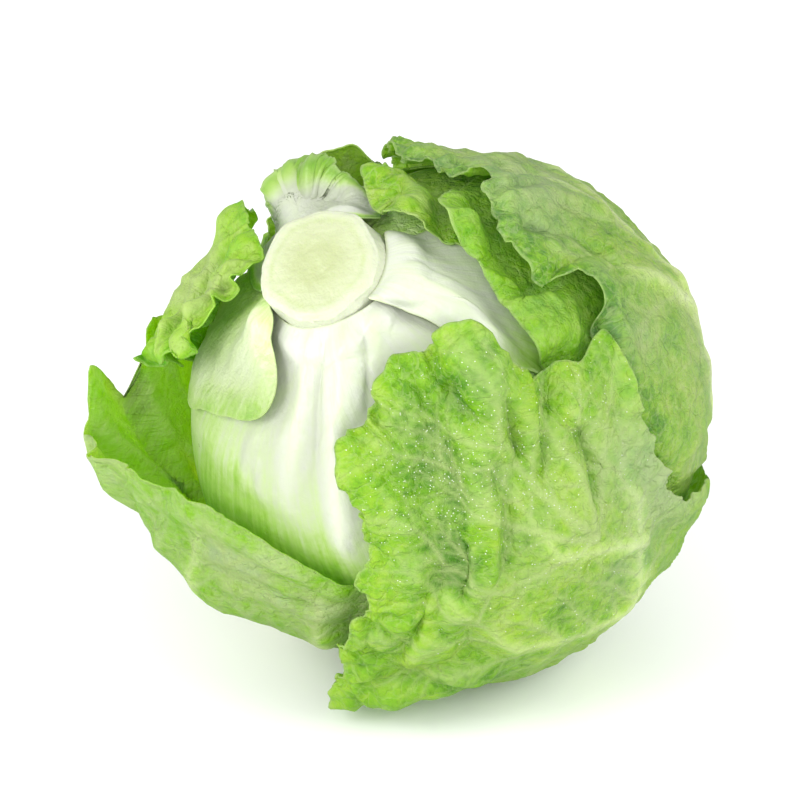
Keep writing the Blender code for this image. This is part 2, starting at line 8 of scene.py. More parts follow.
import itertools
import logging
import math
from dataclasses import dataclass, field
from enum import Enum

import bpy
import numpy as np
from mathutils import Matrix, Vector
from mathutils.kdtree import KDTree


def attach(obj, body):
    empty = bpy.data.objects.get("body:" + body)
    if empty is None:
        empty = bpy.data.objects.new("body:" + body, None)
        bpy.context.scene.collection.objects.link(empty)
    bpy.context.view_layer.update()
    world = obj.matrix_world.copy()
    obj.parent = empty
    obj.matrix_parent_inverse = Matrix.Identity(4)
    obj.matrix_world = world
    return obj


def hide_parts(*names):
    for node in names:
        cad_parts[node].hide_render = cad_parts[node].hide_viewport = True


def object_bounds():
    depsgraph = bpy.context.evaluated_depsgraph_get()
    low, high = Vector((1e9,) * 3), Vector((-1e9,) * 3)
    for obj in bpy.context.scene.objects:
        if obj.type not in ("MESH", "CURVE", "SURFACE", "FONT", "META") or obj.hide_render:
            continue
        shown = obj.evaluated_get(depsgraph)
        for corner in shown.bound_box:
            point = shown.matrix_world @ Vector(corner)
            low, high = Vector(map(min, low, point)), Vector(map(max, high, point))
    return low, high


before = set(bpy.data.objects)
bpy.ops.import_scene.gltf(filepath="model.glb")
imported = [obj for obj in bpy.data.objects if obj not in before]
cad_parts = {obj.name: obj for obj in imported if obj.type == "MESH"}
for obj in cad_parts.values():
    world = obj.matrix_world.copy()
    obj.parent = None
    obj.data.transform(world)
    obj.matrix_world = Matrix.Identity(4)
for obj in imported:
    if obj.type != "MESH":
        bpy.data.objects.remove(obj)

CAD_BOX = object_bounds()
LOG = logging.getLogger("lettuce")

Colour = tuple[float, float, float, float]
Line = tuple[tuple[float, float], ...]
Patch = tuple[float, float, float, float]
Stops = tuple[tuple[float, Colour], ...]

MM = 0.001
STUDIO_LIGHT = 1.3

STEM_LEAN = 35.5
STEM_HEADING = 225.0
STEM_RADIUS = 17.3
STEM_NECK = 18.0
STEM_TOP = 81.5
STEM_ROOT = 60.0
STEM_SLANT = 10.0
STEM_SLANT_TOWARDS = 68.0
STEM_SHIFT = 2.3
STEM_SHIFT_TOWARDS = -51.0
STEM_BEVEL = 0.9

HEART_RADIUS = 73.5
PIT_ANGLE = 15.0
PIT_FLOOR = STEM_ROOT - 0.4

LEAF_THICKNESS = 1.0
LEAF_GAP = 0.6
FLOOR_GAP = 1.2
DRAPE = 9.0
COLLAR_HEIGHT = 2.6
COLLAR_REACH = 9.0
BASE_CLIMB = 4.6
FLAT_DEPTH = 2.4
BOX_MARGIN = 0.4
BOX_SOFTNESS = 1.2
TAPER = 0.85

# Where the ball stands out or falls in: around, down, millimetres, reach in degrees.
BULGES = (
    (160, 75, 2.5, 45),
    (100, 105, 1.5, 30),
    (48, 112, 4.0, 28),
    (22, 92, -4.0, 26),
    (0, 0, -2.0, 30),
)


def paint(red: float, green: float, blue: float) -> Colour:
    """The shader colour that shows as this one in the studio's bright light.

    Args:
        red: Red from 0 to 255.
        green: Green from 0 to 255.
        blue: Blue from 0 to 255.

    Returns:
        The linear colour with its alpha.
    """
    linear = [
        (v / 12.92 if v <= 0.04045 else ((v + 0.055) / 1.055) ** 2.4) / STUDIO_LIGHT
        for v in (red / 255, green / 255, blue / 255)
    ]
    return linear[0], linear[1], linear[2], 1.0


def unit(vectors: np.ndarray) -> np.ndarray:
    """The vectors at length 1."""
    return vectors / np.maximum(np.linalg.norm(vectors, axis=-1), 1e-9)[..., None]


def stem_frame() -> tuple[np.ndarray, np.ndarray, np.ndarray]:
    """Works out the axes that `around` and `down` are measured from.

    Returns:
        The unit vectors of the stem, of around = 0 and of around = 90.
    """
    lean, heading = math.radians(STEM_LEAN), math.radians(STEM_HEADING)
    level = np.array([math.cos(heading), math.sin(heading), 0.0])
    stem = level * math.sin(lean) + np.array([0.0, 0.0, math.cos(lean)])
    zero = unit(level - (level @ stem) * stem)
    return stem, zero, np.cross(stem, zero)


STEM, AROUND_0, AROUND_90 = stem_frame()
DOWNWARDS = np.array([[0.0, 0.0, -1.0]])


def direction(around: np.ndarray, down: np.ndarray) -> np.ndarray:
    """Unit vectors from the middle of the head.

    Args:
        around: Degrees round the stem.
        down: Degrees from the stem's cut end.

    Returns:
        One row for each pair of angles.
    """
    around, down = np.radians(around), np.radians(down)
    side = np.multiply.outer(np.cos(around), AROUND_0) + np.multiply.outer(np.sin(around), AROUND_90)
    return np.cos(down)[..., None] * STEM + np.sin(down)[..., None] * side


def angle_between(rows: np.ndarray, axis: np.ndarray) -> np.ndarray:
    """Degrees from each row to the axis."""
    return np.degrees(np.arccos(np.clip(rows @ axis, -1.0, 1.0)))


def smooth(t: np.ndarray) -> np.ndarray:
    """0 below 0, 1 above 1, and an S between."""
    t = np.clip(t, 0.0, 1.0)
    return t * t * (3.0 - 2.0 * t)


def closed_curve(angles: np.ndarray, values: np.ndarray, at: np.ndarray) -> np.ndarray:
    """A smooth closed curve through values at angles.

    Args:
        angles: Rising angles in radians.
        values: The curve's values there.
        at: The angles to read it at.

    Returns:
        The curve's values at those angles.
    """
    turn = 2.0 * math.pi
    a = np.concatenate([angles[-2:] - turn, angles, angles[:2] + turn])
    v = np.concatenate([values[-2:], values, values[:2]])
    slope = np.zeros(len(a))
    slope[1:-1] = (v[2:] - v[:-2]) / (a[2:] - a[:-2])
    at = np.mod(at - angles[0], turn) + angles[0]
    k = np.clip(np.searchsorted(a, at, side="right") - 1, 1, len(a) - 3)
    span = a[k + 1] - a[k]
    t = (at - a[k]) / span
    return (
        v[k] * (1 + 2 * t) * (1 - t) ** 2
        + v[k + 1] * t * t * (3 - 2 * t)
        + slope[k] * span * t * (1 - t) ** 2
        - slope[k + 1] * span * t * t * (1 - t)
    )


def ripples(rows: np.ndarray, length: float, seed: int) -> np.ndarray:
    """A smooth uneven field on the ball.

    Args:
        rows: Unit vectors.
        length: How far apart its hills are, in mm.
        seed: The field's seed.

    Returns:
        Values from -1 to 1.
    """
    rng = np.random.default_rng(seed)
    waves = 9
    pull = rng.normal(size=(waves, 3))
    pull /= np.linalg.norm(pull, axis=1)[:, None]
    pull *= 2.0 * math.pi * HEART_RADIUS / length
    start = rng.uniform(0.0, 2.0 * math.pi, waves)
    return np.tanh(np.sin(rows @ pull.T + start).sum(-1) / math.sqrt(waves))


def distance_to_line(rows: np.ndarray, points: Line) -> tuple[np.ndarray, np.ndarray]:
    """How far each row is from a line on the ball.

    Args:
        rows: Unit vectors.
        points: The line's (around, down) points.

    Returns:
        The distance in mm, and how far along the line its nearest point is, 0 to 1.
    """
    ends = direction(*np.array(points, float).T)
    best = np.full(rows.shape[:-1], np.inf)
    share = np.zeros(rows.shape[:-1])
    pieces = len(ends) - 1
    for k in range(pieces):
        along = ends[k + 1] - ends[k]
        t = np.clip((rows - ends[k]) @ along / (along @ along), 0.0, 1.0)
        gap = np.linalg.norm(rows - ends[k] - t[..., None] * along, axis=-1)
        share = np.where(gap < best, (k + t) / pieces, share)
        best = np.minimum(best, gap)
    return best * HEART_RADIUS, share


def patches(rows: np.ndarray, spots: tuple[Patch, ...]) -> np.ndarray:
    """The sum of soft round patches.

    Args:
        rows: Unit vectors.
        spots: Each patch as around, down, amount and reach in degrees.

    Returns:
        The sum for each row.
    """
    total = np.zeros(rows.shape[:-1])
    for around, down, amount, reach in spots:
        away = angle_between(rows, direction(around, down))
        total = total + amount * np.exp(-((away / reach) ** 2))
    return total


@dataclass(frozen=True)
class Grain:
    """Smooth uneven values in space, the same on every run."""

    seed: int
    cells: int = 24

    def at(self, points: np.ndarray, length: float) -> np.ndarray:
        """Smooth values in space.

        Args:
            points: Places in space.
            length: How far apart the hills are.

        Returns:
            Values from about -1 to 1.
        """
        rng = np.random.default_rng(self.seed)
        table = unit(rng.normal(size=(self.cells**3, 3)))
        place = points / length
        cell = np.floor(place).astype(int)
        t = place - cell
        fade = t * t * t * (t * (t * 6 - 15) + 10)
        total = np.zeros(points.shape[:-1])
        for corner in itertools.product((0, 1), repeat=3):
            at = np.mod(cell + corner, self.cells)
            pull = table[(at[..., 0] * self.cells + at[..., 1]) * self.cells + at[..., 2]]
            weight = np.where(np.array(corner) == 1, fade, 1 - fade).prod(-1)
            total += weight * (pull * (t - corner)).sum(-1)
        return np.clip(total * 1.7, -1.0, 1.0)

    def domes(self, points: np.ndarray, length: float) -> np.ndarray:
        """Rounded hills that meet in narrow valleys.

        Args:
            points: Places in space.
            length: About how wide a hill is.

        Returns:
            Values from 0 to 1.
        """
        rng = np.random.default_rng(self.seed + 1)
        table = rng.uniform(0.1, 0.9, (self.cells**3, 3))
        place = points / length
        cell = np.floor(place).astype(int)
        nearest = np.full(points.shape[:-1], 9.0)
        for step in itertools.product((-1, 0, 1), repeat=3):
            at = np.mod(cell + step, self.cells)
            jitter = table[(at[..., 0] * self.cells + at[..., 1]) * self.cells + at[..., 2]]
            nearest = np.minimum(nearest, ((place - cell - step - jitter) ** 2).sum(-1))
        return 1.0 - np.clip(nearest / 0.75, 0.0, 1.0)


@dataclass
class Fold:
    """A fold or a groove along a line of (around, down) points, or a solid rib that tapers."""

    line: Line
    height: float
    width: float
    tapers: bool = False
    solid: bool = False

    def raise_at(self, rows: np.ndarray) -> np.ndarray:
        """How far it raises the leaf.

        Args:
            rows: Unit vectors.

        Returns:
            The heights in mm.
        """
        gap, share = distance_to_line(rows, self.line)
        fade = 1.0 - TAPER * share if self.tapers or self.solid else np.ones_like(share)
        return self.height * fade * np.exp(-((gap / (self.width * np.sqrt(fade))) ** 2))


def plug(tree: bpy.types.NodeTree, value: object, socket: bpy.types.NodeSocket) -> None:
    """Feeds a socket.

    Args:
        tree: The tree that holds it.
        value: Another socket, which is linked, or a plain value, which is set.
        socket: The socket to feed.
    """
    if isinstance(value, bpy.types.NodeSocket):
        tree.links.new(value, socket)
    else:
        socket.default_value = value


def in_scene(name: str, data: bpy.types.ID) -> bpy.types.Object:
    """Makes an object and links it to the scene.

    Args:
        name: Its name.
        data: Its mesh, lamp or camera.

    Returns:
        The object.
    """
    made = bpy.data.objects.new(name, data)
    bpy.context.scene.collection.objects.link(made)
    return made


class Bench:
    """Adds shader nodes to one material and joins them."""

    def __init__(self, name: str) -> None:
        """Starts an empty material.

        Args:
            name: Its name.
        """
        self.material = bpy.data.materials.new(name)
        self.material.use_nodes = True
        self.tree = self.material.node_tree
        self.tree.nodes.clear()

    def add(self, kind: str, **inputs: object) -> bpy.types.Node:
        """Adds a node.

        Args:
            kind: The node's type, without its ShaderNode prefix.
            inputs: Values or sockets by input name, with _ for a space, and the node's own
                settings in small letters.

        Returns:
            The node.
        """
        node = self.tree.nodes.new("ShaderNode" + kind)
        for name, value in inputs.items():
            if name[0].islower():
                setattr(node, name, value)
                continue
            plug(self.tree, value, self.open_socket(node, name.replace("_", " ")))
        return node

    @staticmethod
    def open_socket(node: bpy.types.Node, name: str) -> bpy.types.NodeSocket:
        """The node's enabled input of this name."""
        return next(s for s in node.inputs if s.name == name and s.enabled)

    def field(self, name: str) -> bpy.types.NodeSocket:
        """The value of a mesh attribute."""
        return self.add("Attribute", attribute_name=name).outputs["Fac"]

    def noise(self, place: object, scale: float, detail: float, rough: float = 0.5) -> bpy.types.NodeSocket:
        """The value of soft noise at a place."""
        node = self.add("TexNoise", Vector=place, Scale=scale, Detail=detail, Roughness=rough)
        return node.outputs["Fac"]

    def sum(self, kind: str, a: object, b: object, clamp: bool = False) -> bpy.types.NodeSocket:
        """Works out two values.

        Args:
            kind: The operation.
            a: The first value.
            b: The second value.
            clamp: Whether the result stays from 0 to 1.

        Returns:
            The result's socket.
        """
        node = self.tree.nodes.new("ShaderNodeMath")
        node.operation, node.use_clamp = kind, clamp
        for socket, value in zip(node.inputs, (a, b)):
            plug(self.tree, value, socket)
        return node.outputs[0]

    def blend(self, share: object, first: object, second: object) -> bpy.types.NodeSocket:
        """Mixes two colours.

        Args:
            share: How much of the second is in the mix.
            first: A colour.
            second: A colour.

        Returns:
            The mixed colour's socket.
        """
        node = self.add("Mix", data_type="RGBA")
        for socket, value in zip((node.inputs[0], node.inputs[6], node.inputs[7]), (share, first, second)):
            plug(self.tree, value, socket)
        return node.outputs[2]

    def ramp(self, value: bpy.types.NodeSocket, stops: Stops) -> bpy.types.NodeSocket:
        """Lays colours along a value.

        Args:
            value: A value from 0 to 1.
            stops: Each colour with its place on the value.

        Returns:
            The colour's socket.
        """
        node = self.add("ValToRGB", Fac=value)
        band = node.color_ramp
        while len(band.elements) < len(stops):
            band.elements.new(0.5)
        for element, (place, colour) in zip(band.elements, stops):
            element.position, element.color = place, colour
        return node.outputs["Color"]

    def span(self, value: object, low: float, high: float) -> bpy.types.NodeSocket:
        """A value turned to 0 at low and 1 at high, smoothly."""
        node = self.add("MapRange", interpolation_type="SMOOTHSTEP", Value=value, From_Min=low, From_Max=high)
        return node.outputs["Result"]

    def finish(self, surface: bpy.types.NodeSocket) -> bpy.types.Material:
        """Joins the surface to the output and gives the material."""
        self.tree.links.new(surface, self.add("OutputMaterial").inputs["Surface"])
        return self.material


@dataclass(frozen=True)
class LeafFinish:
    """Moist leaf: white tissue that turns green, veins, a pale rim, a pale film with painted sheen, and light
    through it.
    """

    white: Colour = paint(220, 225, 208)
    pale: Colour = paint(214, 237, 168)
    light: Colour = paint(188, 228, 108)
    green: Colour = paint(154, 208, 66)
    deep: Colour = paint(98, 168, 8)
    vein: Colour = paint(214, 233, 166)
    rim: Colour = paint(222, 239, 172)
    # Pale film colour, partly painted sheen: where light grazes the leaf it is painted paler.
    bloom: Colour = paint(206, 216, 190)
    lime: Colour = paint(188, 232, 70)
    passes: float = 0.42
    roughness: float = 0.36
    mottle: float = 0.34
    net: float = 0.22
    blisters: float = 1.0
    streaks: float = 0.0
    texture: float = 1.0

    def dress(self, name: str) -> bpy.types.Material:
        """Builds the material.

        Args:
            name: The material's name.

        Returns:
            The finished material.
        """
        bench = Bench(name)
        place = bench.add("TexCoord").outputs["Object"]
        green = bench.field("green")
        fine = bench.noise(place, 560.0, 5.0, 0.62)
        patchy = bench.noise(place, 70.0, 4.0, 0.6)
        middling = bench.noise(place, 230.0, 4.0, 0.6)
        fan = bench.add("UVMap", uv_map="fan").outputs["UV"]
        stretched = bench.add("Mapping", Vector=fan, Scale=(150.0, 5.0, 1.0)).outputs[0]
        streak = bench.noise(stretched, 1.0, 4.0, 0.6)
        net, domes = self.blistering(bench)
        netted = bench.sum("MULTIPLY", net, bench.sum("MULTIPLY", bench.span(green, 0.2, 0.7), self.net))
        lines = bench.sum("MAXIMUM", netted, bench.field("vein"))
        tissue = self.tissue(bench, green, (patchy, middling, fine, streak))
        tissue = bench.blend(lines, tissue, self.vein)
        # Pale film and painted sheen, laid by patch on the outer face.
        tissue = bench.blend(bench.field("bloom"), tissue, self.bloom)
        tissue = bench.blend(bench.field("rim"), tissue, self.rim)
        height = bench.sum("MULTIPLY", fine, 0.7)
        for part, size in ((domes, self.blisters), (middling, 0.8), (streak, 1.2 * self.streaks)):
            height = bench.sum("ADD", height, bench.sum("MULTIPLY", part, size))
        bump = bench.add("Bump", Strength=0.8 * self.texture, Distance=0.0008, Height=height)
        bump = bump.outputs["Normal"]
        gloss = bench.sum("MULTIPLY", bench.sum("SUBTRACT", patchy, 0.5), 0.3)
        skin = bench.add(
            "BsdfPrincipled",
            Base_Color=tissue,
            Roughness=bench.sum("ADD", gloss, self.roughness),
            Normal=bump,
            Specular_IOR_Level=0.5,
            Sheen_Weight=0.05,
            Sheen_Roughness=0.4,
        )
        glow = bench.blend(bench.span(green, 0.1, 0.6), tissue, self.lime)
        through = bench.add("BsdfTranslucent", Color=glow, Normal=bump)
        thin = bench.sum("MULTIPLY", bench.field("thin"), self.passes)
        mixed = bench.add("MixShader", Fac=thin)
        bench.tree.links.new(skin.outputs[0], mixed.inputs[1])
        bench.tree.links.new(through.outputs[0], mixed.inputs[2])
        return bench.finish(mixed.outputs[0])

    def tissue(self, bench: Bench, green: bpy.types.NodeSocket, grains: tuple) -> bpy.types.NodeSocket:
        """The leaf's colour, without veins and rim.

        Args:
            bench: The material's bench.
            green: How green the leaf is here.
            grains: Patchy, middling, fine and streaked noise.

        Returns:
            The colour's socket.
        """
        lean = None
        for grain, size in zip(grains, (self.mottle, self.mottle, 0.6 * self.mottle, self.streaks)):
            part = bench.sum("MULTIPLY", bench.sum("SUBTRACT", grain, 0.5), size)
            lean = part if lean is None else bench.sum("ADD", lean, part)
        tone = bench.sum("MULTIPLY", lean, bench.sum("ADD", bench.span(green, 0.0, 0.5), 0.3))
        tone = bench.sum("ADD", tone, green, clamp=True)
        colours = (self.white, self.pale, self.light, self.green, self.deep)
        return bench.ramp(tone, tuple(zip((0.0, 0.2, 0.44, 0.68, 1.0), colours)))

    def blistering(self, bench: Bench) -> tuple[bpy.types.NodeSocket, bpy.types.NodeSocket]:
        """The finest veins as a net, and the low domes of tissue between them.

        Args:
            bench: The material's bench.

        Returns:
            The net's socket and the domes' socket.
        """
        chart = bench.add("UVMap", uv_map="chart").outputs["UV"]
        bent = bench.add("TexNoise", Vector=chart, Scale=70.0, Detail=3.0).outputs["Color"]
        warped = bench.add("VectorMath", operation="MULTIPLY_ADD", Vector=bent)
        warped.inputs[1].default_value = (0.03, 0.03, 0.0)
        bench.tree.links.new(chart, warped.inputs[2])
        edge = bench.add("TexVoronoi", feature="DISTANCE_TO_EDGE", Vector=warped.outputs[0], Scale=70.0)
        broad = bench.add("TexVoronoi", feature="F1", Vector=warped.outputs[0], Scale=70.0)
        small = bench.add("TexVoronoi", feature="F1", Vector=warped.outputs[0], Scale=170.0)
        net = bench.span(edge.outputs["Distance"], 0.09, 0.0)
        domes = bench.sum(
            "ADD",
            bench.sum("MULTIPLY", broad.outputs["Distance"], -1.4),
            bench.sum("MULTIPLY", small.outputs["Distance"], -0.5),
        )
        return net, domes


class Relief(Enum):
    """How a leaf's surface rises: blister height, its spacing, crease height, edge crumple."""

    TAUT = (0.18, 9.0, 0.15, 0.3)
    BLISTERED = (1.5, 7.5, 0.8, 1.2)
    WAVED = (1.6, 7.0, 1.2, 2.8)
    CRUMPLED = (1.3, 6.0, 2.0, 2.2)


@dataclass
class Leaf:
    """One leaf: a sheet with a cut and waved rim.

    Each rim point is around, down, how far the rim stands off what is below it, and how
    far it waves, in mm. Peel is the share of the leaf that lies close. The first fields are
    the solid's own, and those from `finish` on are its surface, veins and colour.
    """

    name: str
    middle: tuple[float, float]
    rim: tuple[tuple[float, float, float, float], ...]
    squares: int
    waves: int = 9
    peel: float = 0.45
    crinkle: float = 0.7
    notches: float = 1.0
    joined: bool = False
    folds: tuple[Fold, ...] = field(default_factory=tuple)
    finish: LeafFinish = LeafFinish()
    relief: Relief = Relief.BLISTERED
    marks: tuple[Fold, ...] = field(default_factory=tuple)
    main_veins: tuple[Line, ...] = field(default_factory=tuple)
    branching: float = 9.0
    vein_share: float = 0.9
    jagged: float = 1.0
    ruffle: float = 0.0
    ruffles: int = 30
    greening: tuple[float, float, float, float] = (15.0, 90.0, 0.6, 0.6)
    tints: tuple[Patch, ...] = field(default_factory=tuple)
    # Patches of pale film on the outer face, partly painted sheen where light grazes.
    bloom_and_sheen_patches: tuple[Patch, ...] = field(default_factory=tuple)
    rib_tint: float = -0.4
    rim_tint: float = 0.0
    rim_reach: float = 13.0
    between: float = 0.14
    # How much painted shade deepens the green in the relief's hollows, and painted light pales its crests.
    cavity_shade_depth: float = 0.24
    inside_tint: float = 0.0
    lengthwise: bool = False
    trim: float = 0.0
    sink: float = 0.0

    def __post_init__(self) -> None:
        """Works out the leaf's own axes and its rim."""
        self.axis = direction(*self.middle)
        self.up = unit(STEM - (STEM @ self.axis) * self.axis)
        self.side = np.cross(self.axis, self.up)
        rim = np.array(self.rim, float)
        reach, turn = self.polar(direction(rim[:, 0], rim[:, 1]))
        order = np.argsort(turn)
        self.turns = turn[order]
        self.reaches, self.lifts, self.frills = reach[order], rim[order, 2], rim[order, 3]
        self.seed = sum(ord(letter) for letter in self.name)

    def polar(self, rows: np.ndarray) -> tuple[np.ndarray, np.ndarray]:
        """Degrees from the leaf's middle, and the angle round it in radians."""
        turn = np.arctan2(rows @ self.side, rows @ self.up)
        return angle_between(rows, self.axis), turn

    def rows_at(self, away: np.ndarray, turn: np.ndarray) -> np.ndarray:
        """Unit vectors at these radians from the leaf's middle, and round it."""
        level = np.cos(turn)[..., None] * self.up + np.sin(turn)[..., None] * self.side
        return np.cos(away)[..., None] * self.axis + np.sin(away)[..., None] * level

    def looseness(self, turn: np.ndarray) -> np.ndarray:
        """How free the rim is at these angles: 1 where it waves by 3 mm or more."""
        return smooth(closed_curve(self.turns, self.frills, turn) / 3.0)

    def reach(self, turn: np.ndarray) -> np.ndarray:
        """How far the rim is from the middle, in degrees, with cuts where it waves."""
        cut = np.sin(7 * turn + self.seed) * np.sin(16 * turn + 2 * self.seed)
        return closed_curve(self.turns, self.reaches, turn) + self.notches * self.looseness(turn) * cut

    def torn_reach(self, turn: np.ndarray) -> np.ndarray:
        """The rim with its small teeth and tears.

        Args:
            turn: Angles round the leaf's middle in radians.

        Returns:
            Degrees from the leaf's middle.
        """
        plain = self.reach(turn) + self.climb(turn)
        loose = 0.3 + 0.7 * self.looseness(turn)
        at = self.rows_at(np.radians(plain), turn) * HEART_RADIUS
        grain = Grain(self.seed)
        teeth = 0.6 * grain.at(at, 9.0) + 0.55 * (0.4 - np.abs(grain.at(at, 4.5))) + 0.3 * grain.at(at, 2.2)
        return plain + loose * (self.jagged * teeth - self.trim)

    def climb(self, turn: np.ndarray) -> np.ndarray:
        """How much farther a joined leaf reaches where its base climbs the stem.

        Args:
            turn: Angles round the leaf's middle in radians.

        Returns:
            The added reach in degrees.
        """
        if not self.joined:
            return np.zeros_like(turn)
        rows = self.rows_at(np.radians(self.reach(turn)), turn)
        down = angle_between(rows, STEM)
        around = np.arctan2(rows @ AROUND_90, rows @ AROUND_0)
        wall = STEM_NECK - 0.3 + 0.7 * STEM_SHIFT * np.cos(around - math.radians(STEM_SHIFT_TOWARDS))
        room = down - np.degrees(np.arcsin(wall / (HEART_RADIUS + BASE_CLIMB)))
        return np.maximum(room, 0.0) * smooth((19.0 - down) / 3.0)

    def cover(self, rows: np.ndarray) -> np.ndarray:
        """Where the leaf lies.

        Args:
            rows: Unit vectors.

        Returns:
            1 on the leaf, and 0 beyond the drape of what lies over its rim.
        """
        away, turn = self.polar(rows)
        outside = np.radians(away - self.reach(turn)) * HEART_RADIUS
        return 1.0 - smooth(outside / DRAPE)

    def lift(self, rows: np.ndarray) -> np.ndarray:
        """How far the leaf stands off what is below it, before the leaves over it press it.

        Args:
            rows: Unit vectors.

        Returns:
            The gap in mm.
        """
        away, turn = self.polar(rows)
        share = np.clip(away / self.reach(turn), 0.0, 1.0)
        edge = smooth((share - self.peel) / (1.0 - self.peel))
        wave = 0.5 + 0.5 * np.sin(self.waves * turn + 1.5 * np.sin(3 * turn + self.seed))
        stand = closed_curve(self.turns, self.lifts, turn) * edge
        frill = closed_curve(self.turns, self.frills, turn) * edge**2 * wave
        hills = self.crinkle * (1.0 + ripples(rows, 34.0, self.seed))
        return np.maximum(stand, 0.0) + np.maximum(frill, 0.0) + hills + self.bends(rows)

    def bends(self, rows: np.ndarray) -> np.ndarray:
        """What the folds that aren't solid raise, never into what is below.

        Args:
            rows: Unit vectors.

        Returns:
            The heights in mm.
        """
        total = np.zeros(rows.shape[:-1])
        for fold in self.folds:
            if not fold.solid:
                total = total + fold.raise_at(rows)
        return np.maximum(total, -0.5 * self.crinkle)

    def ribs(self, rows: np.ndarray) -> np.ndarray:
        """The solid ribs.

        Args:
            rows: Unit vectors.

        Returns:
            Their height in mm.
        """
        total = np.zeros(rows.shape[:-1])
        for fold in self.folds:
            if fold.solid:
                total = np.maximum(total, fold.raise_at(rows))
        return total

    def thickness(self, rows: np.ndarray) -> np.ndarray:
        """What the ribs and the thick base at the stem add to the sheet.

        Args:
            rows: Unit vectors.

        Returns:
            The added thickness in mm.
        """
        total = self.ribs(rows)
        if self.joined:
            below = angle_between(rows, STEM) - PIT_ANGLE
            total = np.maximum(total, COLLAR_HEIGHT * np.exp(-((below / COLLAR_REACH) ** 2)))
        return total


def heart_radius(rows: np.ndarray) -> np.ndarray:
    """The heart's radius, without the pit that holds the stem."""
    return HEART_RADIUS + patches(rows, BULGES)


INNER_FINISH = LeafFinish(
    mottle=0.3, net=0.08, blisters=0.4, passes=0.30, streaks=0.9, roughness=0.34, texture=0.3,
)
FRESH = LeafFinish(
    pale=paint(226, 246, 160), light=paint(204, 244, 116), green=paint(178, 236, 58),
    deep=paint(126, 200, 8), mottle=0.6, passes=0.5,
)
DULL = LeafFinish(
    pale=paint(224, 246, 142), light=paint(200, 240, 84), green=paint(166, 226, 40),
    deep=paint(88, 158, 18), vein=paint(226, 246, 164), net=0.4, mottle=0.7, passes=0.5,
)
OUTER = LeafFinish(
    pale=paint(218, 250, 116), light=paint(194, 242, 60), green=paint(160, 224, 36),
    deep=paint(94, 164, 14), vein=paint(226, 249, 158), net=0.36, mottle=0.62, passes=0.5,
)
LOOSE_FINISH = LeafFinish(
    white=paint(234, 250, 200), pale=paint(228, 252, 164), light=paint(212, 250, 112),
    green=paint(180, 240, 20), deep=paint(144, 224, 0), vein=paint(240, 255, 180),
    lime=paint(206, 250, 30), net=0.3, mottle=0.6, streaks=0.8, passes=0.68,
)
FRILL_FINISH = LeafFinish(
    white=paint(226, 250, 150), pale=paint(220, 252, 124), light=paint(204, 250, 76),
    green=paint(168, 238, 16), deep=paint(104, 190, 0), vein=paint(232, 252, 170),
    rim=paint(222, 250, 140), lime=paint(206, 250, 40), mottle=0.5, passes=0.55,
)

# The leaf that faces the front, with the broad white rib below the stem.
FRONT_RIB = Leaf(
    "leaf_front_rib",
    (25, 52),
    (
        (-28, 15.5, 0, 0), (0, 15.2, 0, 0), (30, 15.2, 0, 0), (60, 15.2, 0, 0), (86, 16, 0, 0),
        (92, 36, 0, 0), (86, 60, 0, 0), (70, 84, 0, 0), (40, 98, 0, 0), (5, 99, 0, 0),
        (-28, 88, 0, 0), (-50, 68, 0, 0), (-56, 48, 0, 0), (-50, 27, 0, 0),
    ),
    150,
    crinkle=0.25,
    notches=0.2,
    joined=True,
    folds=(
        Fold(((48, 15), (36, 35), (28, 55), (22, 90)), 4.6, 6.5, solid=True),
        Fold(((18, 15), (14, 40), (8, 75)), 2.2, 6.0, solid=True),
        Fold(((72, 16), (52, 38), (42, 60)), 2.2, 5.0, solid=True),
    ),
    finish=INNER_FINISH,
    relief=Relief.TAUT,
    marks=(
        Fold(((30, 17), (25, 35), (20, 62)), -0.9, 1.6),
        Fold(((60, 17), (45, 37), (35, 60)), -0.9, 1.6),
        Fold(((-4, 18), (-4, 40), (-6, 62)), 0.9, 2.4),
        Fold(((0, 45), (4, 60), (10, 74)), 0.8, 1.6),
    ),
    main_veins=(
        ((14, 30), (2, 50), (-10, 66)), ((18, 38), (12, 58), (6, 78)), ((8, 26), (-12, 44), (-28, 58)),
    ),
    branching=7.0,
    vein_share=0.35,
    jagged=0.3,
    greening=(30.0, 90.0, 0.02, 0.5),
    tints=(
        (-14, 52, 0.12, 16), (-6, 64, 0.16, 12), (20, 74, 0.3, 9), (27, 70, 0.12, 6), (6, 66, 0.16, 8),
        (-24, 70, 0.14, 16), (-30, 46, 0.1, 8), (-8, 50, 0.3, 3),
    ),
    rib_tint=-0.5,
)

# The leaf with the slanting rib, right of the stem.
RIGHT_RIB = Leaf(
    "leaf_right_rib",
    (115, 52),
    (
        (89, 16, 0, 0), (91, 25, 1, 0), (92, 34, 1.5, 0), (94, 43, 1.5, 0), (97, 53, 1, 0),
        (94, 67, 0, 0), (98, 82, 0, 0), (114, 92, 0, 0), (132, 86, 0, 0), (148, 66, 0, 0),
        (159, 42, 0, 0), (157, 26, 0, 0), (147, 16, 0, 0), (118, 15.2, 0, 0),
    ),
    110,
    crinkle=0.2,
    notches=0.1,
    joined=True,
    folds=(
        Fold(((112, 15), (104, 32), (103, 50), (104, 84)), 5.0, 8.0, solid=True),
        Fold(((138, 16), (128, 34), (120, 60)), 2.5, 6.0, solid=True),
    ),
    finish=INNER_FINISH,
    relief=Relief.TAUT,
    marks=(Fold(((122, 17), (114, 34), (110, 52)), -0.7, 1.4),),
    jagged=0.3,
    vein_share=0.25,
    greening=(30.0, 62.0, 0.02, 0.12),
    tints=((97, 50, 0.5, 6), (104, 46, 0.1, 6)),
    rib_tint=0.0,
)

